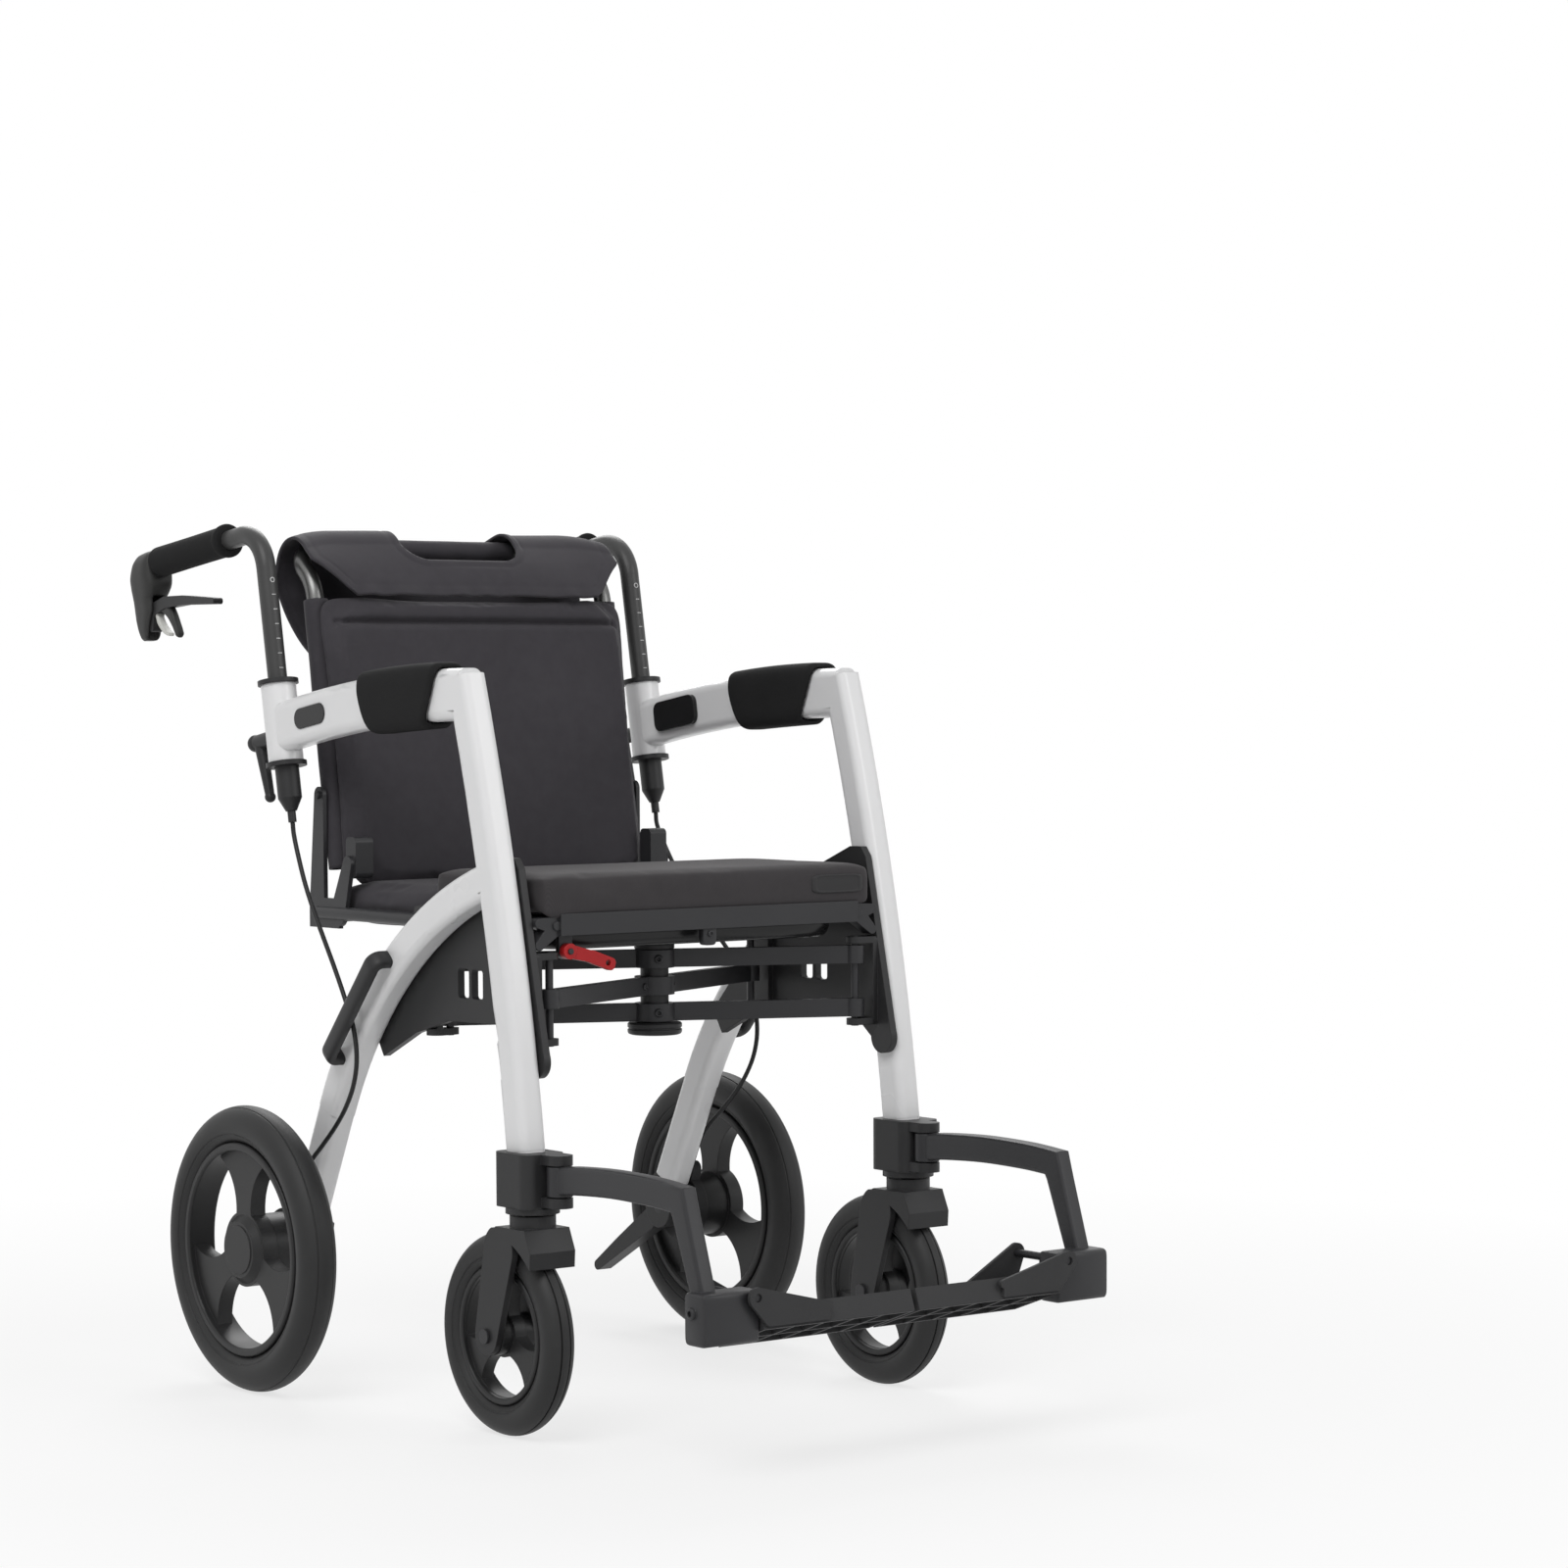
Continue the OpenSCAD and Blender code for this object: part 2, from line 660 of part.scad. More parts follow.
// Seat tray: front and rear rails joined by side rails, with bracket plates at the corners
module seat_tray() {
    lug = release_x - 4 - move_gap;
    color("dimgray") {
        for (x = [rail_x, seat_back + 12]) translate([x, -rail_half, rail_z]) cube([rail_t,
            2 * rail_half, rail_h]);
        for (y = [-rail_half, rail_half - rail_t]) translate([seat_back + 12, y, rail_z + 2])
            cube([rail_x - seat_back, rail_t, rail_h - 4]);
        translate([seat_back + 8, -rail_half, rail_z + rail_h])
            cube([rail_x + rail_t - seat_back - 8, 2 * rail_half, rail_gap]);
        both_sides() for (x = [rail_x + 4]) {
            translate([x, 0, 0]) rotate([90, 0, 90]) linear_extrude(14) {
                link_outline([-rail_half - 2, rail_z + 10], 9, [panel_in + 5, rail_z + 13], 5);
                link_outline([-rail_half - 2, rail_z + 10], 9, [panel_in + 5, rail_z - 9], 5);
            }
            translate([x - 2, -rail_half - 3, rail_z + 10]) rotate([0, 90, 0]) cylinder(d = 9, h = 18);
        }
        translate([lug - 6, release_y - 8, release_z]) cube([6, 16, rail_z - release_z + 1]);
        translate([lug - 6, release_y, release_z]) rotate([0, 90, 0]) cylinder(d = 16, h = 6);
        translate([lug - 6, release_y, release_z]) rotate([0, 90, 0]) cylinder(d = release_pin_d, h = 16);
    }
}

module seat_cushion() {
    color("black") translate([seat_back + seat_depth / 2, 0, seat_top - cushion_h])
        padded(seat_depth, seat_w, cushion_h - 5, 7, 4);
}

// Red seat release lever under the right end of the front rail
release_x = rail_x + 14;
release_y = -rail_half + 14;
release_z = 482;
release_pin_d = 6;
module release_lever() {
    color("red") translate([release_x, release_y, release_z]) rotate([90, 0, 90]) difference() {
        union() {
            linear_extrude(8, center = true) circle(8);
            linear_extrude(6, center = true) {
                link_outline([0, 0], 7, [26, -6], 6);
                translate([38.5, -10.5]) rotate(-20) rounded_rect(36, 13, 5.5);
            }
        }
        cylinder(d = release_pin_d + 2 * fit_gap, h = 20, center = true);
        translate([47, -13.5, 0]) cylinder(d = 6, h = 20, center = true);
    }
}

// Backrest carrier: two side plates with rods that plug into the side panels
module backrest_carrier() {
    color("dimgray") {
        both_sides() {
            difference() {
                across(-carrier_y, -carrier_y + carrier_wall) union() {
                    link_outline(back_pin, 9, [back_pin[0] - 6, carrier_rod_z + 2], 15);
                    translate([back_pin[0] - 21, carrier_rod_z - 16]) square([60, 32]);
                }
                translate([back_pin[0], 0, back_pin[1]]) rotate([90, 0, 0])
                    cylinder(d = back_pin_d, h = 2 * back_w, center = true);
            }
            translate([back_pin[0] - 6, -carrier_y + 2, carrier_rod_z]) rotate([0, 90, 0])
                cylinder(d = carrier_rod_d, h = seat_back + 30 - back_pin[0]);
            across(-carrier_y + carrier_wall, -carrier_y + carrier_wall + 22) translate([40,
                566]) rounded_rect(20, 44, 6);
            across(-carrier_y, -carrier_y + carrier_wall) link_outline([40, 560], 8, [20,
                carrier_rod_z], 14);
        }
        translate([back_pin[0] + 2, -carrier_y + 1, carrier_rod_z - 10]) cube([16, 2 * carrier_y - 2, 20]);
    }
}

module seat_extension() {
    w = 2 * (carrier_y - carrier_rod_d / 2 - 3);
    front = seat_back - 6;
    back = back_pin[0] + 18;
    color("black") translate([(front + back) / 2, 0, carrier_rod_z - 10])
        padded(front - back, w, extension_h - 4, 5, 0.001);
}

module backrest_pins() {
    color("silver") both_sides() translate([back_pin[0], -carrier_y - 3, back_pin[1]]) rotate([-90, 0, 0])
        cylinder(d = back_pin_d, h = carrier_y - tube_half + back_tube_d / 2 + 5);
}

// The backrest's own frame: z up the panel from the fold pins
module in_backrest() {
    translate([back_pin[0], 0, back_pin[1]]) rotate([0, -back_lean, 0]) children();
}

// The tube rises straight, leans back at the top and crosses over; bar_at is the middle of the crossing bar
bar_back = tube_back_r * (1 - cos(tube_back)) + (tube_neck + tube_corner_r) * sin(tube_back);
bar_rise = (back_top - back_pin[1] + bar_back * sin(back_lean)) / cos(back_lean) - flap_r - flap_t;
bar_at = [-bar_back, bar_rise];
tube_rise = bar_rise - tube_back_r * sin(tube_back) - (tube_neck + tube_corner_r) * cos(tube_back);
module backrest_tube() {
    bar_half = tube_half - tube_corner_r + 1;
    color("gray") in_backrest() difference() {
        union() {
            both_sides() {
                translate([0, -tube_half, -tube_below]) cylinder(d = back_tube_d,
                    h = tube_below + tube_rise + 1);
                translate([0, -tube_half, tube_rise]) {
                    bent([[0, -tube_back, tube_back_r]]) circle(d = back_tube_d + bend_swell);
                    translate([-tube_back_r * (1 - cos(tube_back)), 0, tube_back_r * sin(tube_back)])
                        rotate([0, -tube_back, 0]) {
                            translate([0, 0, -1]) cylinder(d = back_tube_d, h = tube_neck + 2);
                            translate([0, 0, tube_neck]) rotate(90)
                                bent([[0, 90, tube_corner_r]]) circle(d = back_tube_d + bend_swell);
                        }
                }
            }
            translate([bar_at[0], -bar_half, bar_at[1]]) rotate([-90, 0, 0]) cylinder(d = back_tube_d,
                h = 2 * bar_half);
        }
        rotate([90, 0, 0]) cylinder(d = back_pin_d + 2 * fit_gap, h = 2 * back_w, center = true);
    }
}

// Padded panel with cut lower corners, and a fabric pocket round each tube
panel_low = -90;
panel_high = 216;
panel_cut = [27, 34];
pocket_wall = 3.6;
pocket_low = 14;
module backrest_panel() {
    tall = panel_high - panel_low;
    color("black") in_backrest() {
        translate([back_tube_d / 2 + soft_gap, 0, (panel_low + panel_high) / 2]) rotate([90, 0,
            90]) difference() {
            padded(panel_w, tall, panel_t, 9, 3, 0.8, 7);
            for (e = [-1, 1]) translate([0, 0, -1]) linear_extrude(60)
                polygon([[e * (panel_w / 2 + 5), -tall / 2 - 5], [e * (panel_w / 2 - panel_cut[0]),
                    -tall / 2 - 5],
                    [e * (panel_w / 2 - panel_cut[0]), -tall / 2], [e * (panel_w / 2 - 4),
                        -tall / 2 + panel_cut[1]],
                    [e * (panel_w / 2 + 5), -tall / 2 + panel_cut[1] + 6]]);
        }
        both_sides() translate([0, -tube_half, (pocket_low + panel_high - 4) / 2])
            ring(back_tube_d + 2 * soft_gap + 2 * pocket_wall, back_tube_d + 2 * soft_gap,
                panel_high - 4 - pocket_low, $fn = 40);
    }
}

// Fabric flap carried over the crossing bar: its middle line runs from the front edge round the bar
// and down behind
flap_half = back_w / 2 + 4;
flap_front = [36, panel_high - 4];
flap_behind = [-18, 150];
flap_bow = 4;
flap_mid_r = flap_r + flap_t / 2;
flap_corner = [flap_half - 44, flap_half - 62];
flap_tail_half = flap_half - 28;
scoop_half = 76;
scoop_low = 254;
function touch_angle(p, way) = let (d = p - bar_at) atan2(d[1], d[0]) + way * acos(flap_mid_r / norm(d));
function on_bar(a) = bar_at + flap_mid_r * [cos(a), sin(a)];
function bowed(p, q, t, bow) = let (d = (q - p) / norm(q - p)) p + (q - p) * t + 4 * t * (1 - t) * bow
    * [d[1], -d[0]];
flap_first = touch_angle(flap_front, 1);
flap_last = touch_angle(flap_behind, -1) + 360;
flap_line = concat([for (t = [0:0.2:0.9]) bowed(flap_front, on_bar(flap_first), t, flap_bow)],
    [for (i = [0:12]) on_bar(flap_first + (flap_last - flap_first) * i / 12)],
    [for (t = [0.2:0.2:1.05]) bowed(on_bar(flap_last), flap_behind, t, 2 * flap_bow)]);
function beside(i, d) = let (n = len(flap_line), w = flap_line[min(i + 1,
    n - 1)] - flap_line[max(i - 1, 0)])
    flap_line[i] + d * [w[1], -w[0]] / norm(w);
module backrest_flap() {
    n = len(flap_line);
    color("black") in_backrest() difference() {
        across(-flap_half, flap_half) polygon(concat([for (i = [0:n - 1]) beside(i, flap_t / 2)],
            [for (i = [n - 1:-1:0]) beside(i, -flap_t / 2)]));
        for (e = [-1, 1]) {
            translate([-20, 0, 0]) rotate([90, 0, 90]) linear_extrude(100)
                polygon([[e * flap_half, bar_at[1]], [e * flap_corner[0], flap_front[1] + 8],
                    [e * flap_corner[1], flap_front[1] - 6], [e * (flap_half + 20), flap_front[1] - 6],
                    [e * (flap_half + 20), bar_at[1]]]);
            translate([-90, 0, 0]) rotate([90, 0, 90]) linear_extrude(90)
                polygon([[e * flap_half, bar_at[1] - 35], [e * flap_tail_half, flap_behind[1] - 5],
                    [e * (flap_half + 20), flap_behind[1] - 5], [e * (flap_half + 20), bar_at[1] - 35]]);
        }
        translate([bar_at[0] - 2, 0, scoop_low + 40]) rotate([0, 90, 0]) linear_extrude(100)
            rounded_rect(80, 2 * scoop_half, 20, $fn = 32);
    }
}

// Guide that carries the foot of the stem up and down in its sleeve, with the cable boot
module stem_guide(left) {
    low = -sleeve_len / 2 - collar_h - guide_drop;
    color("dimgray") on_side(left) in_sleeve() difference() {
        union() {
            translate([0, 0, low]) cylinder(d1 = 12, d2 = guide_d - 2 * fit_gap, h = 14);
            translate([0, 0, low + 14]) cylinder(d = guide_d - 2 * fit_gap,
                h = -low - 14 - sleeve_len / 2 + guide_shank);
            translate([0, 0, low - boot_len]) cylinder(d = boot_d, h = boot_len + 1);
        }
        translate([0, 0, stem_low - 0.5]) cylinder(d = stem_d + 2 * fit_gap, h = 200);
    }
}

module handle_stem(left) {
    tail = neck_len + grip_len + hood_len - 8;
    color("dimgray") on_side(left) {
        in_sleeve() {
            translate([0, 0, stem_low]) cylinder(d = stem_d, h = stem_top - stem_low + 1);
            translate([0, 0, stem_top]) bent([[0, -bend_angle, stem_bend_r]]) circle(d = stem_d +
                bend_swell);
        }
        in_grip() translate([0, 0, -1]) cylinder(d = stem_d, h = tail + 1);
    }
}

module grip(left) {
    color("black") on_side(left) in_grip() translate([0, 0, neck_len]) difference() {
        union() {
            cylinder(d = grip_d, h = grip_len);
            translate([0, 0, 2]) cylinder(d = grip_d + 3, h = 6);
        }
        translate([0, 0, -1]) cylinder(d = stem_d, h = grip_len + 2);
    }
}

// Moulded hood at the end of the grip, reaching down to guard the lever
module grip_hood(left) {
    color("dimgray") on_side(left) in_grip() translate([0, 0, neck_len + grip_len]) difference() {
        across(-hood_w / 2, hood_w / 2) union() {
            polygon([[22, 0], [22, 26], [hood_peak, hood_len], [-34, hood_len - 2], [-hood_drop,
                hood_len - 12],
                [-hood_drop, hood_len - 28], [-56, hood_len - 30], [-40, 0]]);
            translate([hood_peak, hood_len - hood_round]) circle(hood_round);
        }
        cylinder(d = stem_d, h = 2 * (hood_len - 8), center = true);
        translate([lever_pivot[0] - 17.5, 0, hood_len - 24]) cube([71, 13, 60], center = true);
    }
    color("silver") on_side(left) in_grip() translate([lever_pivot[0], 0,
        neck_len + grip_len + hood_len - 22])
        rotate([90, 0, 0]) cylinder(d = lever_pin_d, h = hood_w - 4, center = true);
}

// Brake lever under the grip
module brake_lever(left) {
    color("dimgray") on_side(left) in_grip()
        translate([lever_pivot[0], 0, neck_len + grip_len + hood_len - 22]) difference() {
            across(-6, 6) union() {
                link_outline([0, 0], 7, [5, -30], 6.5);
                link_outline([5, -30], 6.5, [1.5, -71], 5.2);
                link_outline([1.5, -71], 5.2, [-9, -136], 3.5);
                link_outline([0, 0], 7, [-20, 2], 4);
            }
            rotate([90, 0, 0]) cylinder(d = lever_pin_d + 2 * fit_gap, h = 40, center = true);
        }
}

// Clamping lever behind each sleeve
module clamp_lever(left) {
    color("black") on_side(left) in_sleeve() translate([0, 0, clamp_z]) {
        translate([-sleeve_d / 2 - 36, 0, 0]) rotate([0, 90, 0]) {
            cylinder(d = clamp_screw_d - 2 * fit_gap, h = 40);
            cylinder(d = 17, h = 35.5);
            translate([0, 0, -3]) sphere(d = 19);
        }
        translate([-sleeve_d / 2 - 30, 0, 0]) rotate([0, 172, 0]) {
            cylinder(d1 = 15, d2 = 10, h = clamp_reach);
            translate([0, 0, clamp_reach]) sphere(d = 12);
        }
    }
}

// Three wide spokes between rim and hub, as a disc with three round-sided windows
module spoke_web(rim_r, hub_r, window_r, window_at) {
    difference() {
        circle(rim_r);
        for (a = [0, 120, 240]) rotate(a + 30) difference() {
            intersection() {
                translate([window_at, 0]) circle(window_r);
                circle(rim_r - 6);
            }
            circle(hub_r);
        }
    }
}

module rear_wheel(left) {
    inner = rear_y - frame_out + drum_wall + move_gap;
    color("dimgray") on_side(left) translate([0, rear_y, rear_r]) rotate([90, 0, 0]) difference() {
        union() {
            linear_extrude(18, center = true) spoke_web(rear_rim_r - 4, 40, 0.19 * rear_wheel_d,
                0.275 * rear_wheel_d);
            rotate_extrude() translate([rear_rim_r - 6, 0]) rounded_rect(9, rear_tyre_w - 8, 3);
            cylinder(r = 26, h = rear_tyre_w - 8, center = true);
            translate([0, 0, inner]) cylinder(r = 36, h = -inner);
            translate([0, 0, 8]) cylinder(r1 = 38, r2 = 30, h = 8);
        }
        translate([0, 0, -100]) cylinder(d = axle_d + 2 * fit_gap, h = 100 + axle_end + move_gap);
    }
}

// Round tyre with grooves, held on its rim
module tyre(r, tube_r, rim_r, grooves) {
    rotate_extrude() difference() {
        translate([r - tube_r, 0]) circle(tube_r);
        square([2 * (rim_r - 1.3), 4 * tube_r], center = true);
        for (g = grooves) translate([r, g]) square([5, 1.6], center = true);
        for (e = [-1, 1]) translate([r - 1.45 * tube_r, e * tube_r * 0.93]) circle(1.4);
    }
}

module rear_tyre(left) {
    color("black") on_side(left) translate([0, rear_y, rear_r]) rotate([90, 0, 0])
        tyre(rear_r, rear_tube_r, rear_rim_r, [-9, 9]);
}

// One-piece caster fork over the front wheel
module caster_fork(left) {
    axle = [front_axle_x, front_r];
    color("dimgray") on_side(left) {
        difference() {
            union() {
                translate([0, frame_y, 0]) across(-fork_half, fork_half) difference() {
                    union() {
                        polygon([[swivel_x - 44, fork_top - 26], [swivel_x - 26, fork_top - 12],
                            [swivel_x + 24, fork_top - 12],
                            [swivel_x + 34, fork_top - 34], [swivel_x + 32, front_r + 62],
                                [swivel_x - 62, fork_top - 60]]);
                    }
                    translate(axle) circle(front_r + 5);
                }
                translate([0, frame_y, 0]) for (e = [-1, 1])
                    across(e * fork_half, e * (fork_half - fork_wall)) intersection() {
                        link_outline(axle, 19, [swivel_x - 22, fork_top - 36], 25);
                        translate([swivel_x - 100, 0]) square([200, fork_top - 14]);
                    }
                translate([swivel_x, frame_y, fork_top - 24]) cylinder(d = 46, h = 24);
            }
            translate([front_axle_x, 0, front_r]) rotate([90, 0, 0]) cylinder(d = bolt_d,
                h = 2 * frame_span, center = true);
        }
        translate([swivel_x, frame_y, fork_top - 4]) cylinder(d = swivel_pin_d,
            h = 4 + head_gap + swivel_pin_len);
    }
}

module caster_axle(left) {
    color("silver") on_side(left) translate([front_axle_x, frame_y, front_r]) rotate([90, 0, 0]) {
        cylinder(d = bolt_d, h = 2 * fork_half, center = true);
        for (e = [-1, 1]) translate([0, 0, e * (fork_half + 1.5)]) cylinder(d = 15, h = 3, center = true);
    }
}

module front_wheel(left) {
    color("dimgray") on_side(left) translate([front_axle_x, frame_y, front_r]) rotate([90, 0,
        0]) difference() {
        union() {
            linear_extrude(14, center = true) spoke_web(front_rim_r - 3, 23, 0.19 * front_wheel_d,
                0.28 * front_wheel_d);
            rotate_extrude() translate([front_rim_r - 5, 0]) rounded_rect(7, front_tyre_w - 8, 2.5);
            cylinder(r = 20, h = 2 * (fork_half - fork_wall - move_gap), center = true);
        }
        cylinder(d = bolt_d + 2 * fit_gap, h = 4 * front_tyre_w, center = true);
    }
}

module front_tyre(left) {
    color("black") on_side(left) translate([front_axle_x, frame_y, front_r]) rotate([90, 0, 0])
        tyre(front_r, front_tube_r, front_rim_r, [-5, 5]);
}

// Footrest: hanger knuckle, forward tube with a mitred drop, and the yoke of the footplate
module foot_bar(less = 0) {
    rounded_rect(foot_tube_w - less, foot_tube_t - less, 6);
}
foot_tube_t = 22;
foot_rise = 3;
module footrest(left) {
    elbow = [foot_x, swing_z + foot_reach * tan(foot_rise)];
    bottom = [elbow[0] + (elbow[1] - flip_z) * tan(foot_lean), flip_z];
    mitre = 90 + (90 - foot_rise - foot_lean) / 2;
    color("dimgray") on_side(left) difference() {
        union() {
            translate([swing_x, swing_y, swing_z])
                cylinder(d = swing_d, h = 2 * (16 - move_gap), center = true);
            intersection() {
                translate([swing_x, swing_y, swing_z]) rotate([0, 90 - foot_rise,
                    0]) linear_extrude(foot_reach + 40)
                    foot_bar();
                translate([elbow[0], swing_y, elbow[1]]) rotate([0, mitre, 0])
                    translate([-400, -50, -400]) cube([800, 100, 400]);
            }
            intersection() {
                translate([bottom[0], swing_y, bottom[1]]) rotate([0, -foot_lean, 0]) linear_extrude(200)
                    foot_bar(spigot_step);
                translate([elbow[0], swing_y, elbow[1]]) rotate([0, mitre, 0])
                    translate([-400, -50, -0.1]) cube([800, 100, 400]);
            }
            across(swing_y - 18, flip_y + yoke_lip) translate([yoke_x,
                flip_z - 18]) rounded_rect(yoke_w, 50, 5);
            translate([yoke_x + 4, swing_y - 17, flip_z - 12]) rotate([90, 0, 0]) cylinder(d = 13,
                h = 4, $fn = 6);
        }
        translate([swing_x, swing_y, 0]) cylinder(d = swing_pin_d + 2 * fit_gap, h = 600);
        translate([foot_x - 60, flip_y, flip_z]) rotate([0, 90, 0]) cylinder(d = flip_pin_d, h = 120);
    }
}

module footplate_pin(left) {
    color("silver") on_side(left) translate([plate_front - plate_depth + 2, flip_y, flip_z]) rotate([0,
        90, 0])
        cylinder(d = flip_pin_d, h = plate_depth - 4);
}

// Footplate: a tilted ribbed tray that hangs from a hinge cheek front and back
module footplate(left) {
    outer = flip_y + yoke_lip + 2 * move_gap;
    span = plate_end - outer;
    back = plate_front - plate_depth;
    slab = plate_depth - 7;
    bay = (slab - plate_wall) / 2;
    step = (span - plate_wall) / 5;
    half = slab / 2 * sin(plate_tilt);
    color("dimgray") on_side(left) difference() {
        union() {
            translate([(back + plate_front) / 2, outer, plate_z + plate_h / 2]) rotate([0, -plate_tilt, 0])
                translate([-slab / 2, 0, -plate_h / 2]) difference() {
                    cube([slab, span, plate_h]);
                    for (i = [0:4], j = [0:1])
                        translate([plate_wall + j * bay, plate_wall + i * step, -1])
                            cube([bay - plate_wall, step - plate_wall, plate_h - 3]);
                }
            for (e = [[back, -half], [plate_front - plate_wall, half]]) translate([e[0], 0,
                0]) rotate([90, 0, 90])
                linear_extrude(plate_wall) {
                    link_outline([flip_y, flip_z], 10, [outer + plate_hump,
                        plate_z + e[1] + plate_h - 6], 4);
                    link_outline([flip_y, flip_z], 10, [outer + 7, plate_z + e[1] + 10], 7);
                    polygon([[flip_y, flip_z], [outer + plate_hump, plate_z + e[1] + plate_h - 2],
                        [outer + plate_hump, plate_z + e[1] + 3], [outer + 7, plate_z + e[1] + 3]]);
                }
        }
        translate([back - 10, flip_y, flip_z]) rotate([0, 90, 0])
            cylinder(d = flip_pin_d + 2 * fit_gap, h = plate_depth + 20);
    }
}

module centred() {
    translate([-origin_x, 0, 0]) children();
}

centred() side_frame(false);  // right_side_frame
centred() side_frame(true);  // left_side_frame
centred() arm_pad(false);  // right_arm_pad
centred() arm_pad(true);  // left_arm_pad
centred() side_panel(false);  // right_side_panel
centred() side_panel(true);  // left_side_panel
centred() sleeve_collars();
centred() swivel_lock_covers();
centred() caster_heads();
centred() leg_feet();
centred() rear_axles();
centred() brake_plates();
centred() leg_loops();
centred() tipping_lever();
centred() brake_cable(false);  // right_brake_cable
centred() brake_cable(true);  // left_brake_cable
centred() double_cross_arm();
centred() single_cross_arm();
centred() pivot_column();
centred() linkage_pins();
centred() seat_tray();
centred() seat_cushion();
centred() release_lever();
centred() backrest_carrier();
centred() seat_extension();
centred() backrest_pins();
centred() backrest_tube();
centred() backrest_panel();
centred() backrest_flap();
centred() stem_guide(false);  // right_stem_guide
centred() stem_guide(true);  // left_stem_guide
centred() handle_stem(false);  // right_handle_stem
centred() handle_stem(true);  // left_handle_stem
centred() grip(false);  // right_grip
centred() grip(true);  // left_grip
centred() grip_hood(false);  // right_grip_hood
centred() grip_hood(true);  // left_grip_hood
centred() brake_lever(false);  // right_brake_lever
centred() brake_lever(true);  // left_brake_lever
centred() clamp_lever(false);  // right_clamp_lever
centred() clamp_lever(true);  // left_clamp_lever
centred() rear_wheel(false);  // right_rear_wheel
centred() rear_wheel(true);  // left_rear_wheel
centred() rear_tyre(false);  // right_rear_tyre
centred() rear_tyre(true);  // left_rear_tyre
centred() caster_fork(false);  // right_caster_fork
centred() caster_fork(true);  // left_caster_fork
centred() caster_axle(false);  // right_caster_axle
centred() caster_axle(true);  // left_caster_axle
centred() front_wheel(false);  // right_front_wheel
centred() front_wheel(true);  // left_front_wheel
centred() front_tyre(false);  // right_front_tyre
centred() front_tyre(true);  // left_front_tyre
centred() footrest(false);  // right_footrest
centred() footrest(true);  // left_footrest
centred() footplate(false);  // right_footplate
centred() footplate(true);  // left_footplate
centred() footplate_pin(false);  // right_footplate_pin
centred() footplate_pin(true);  // left_footplate_pin
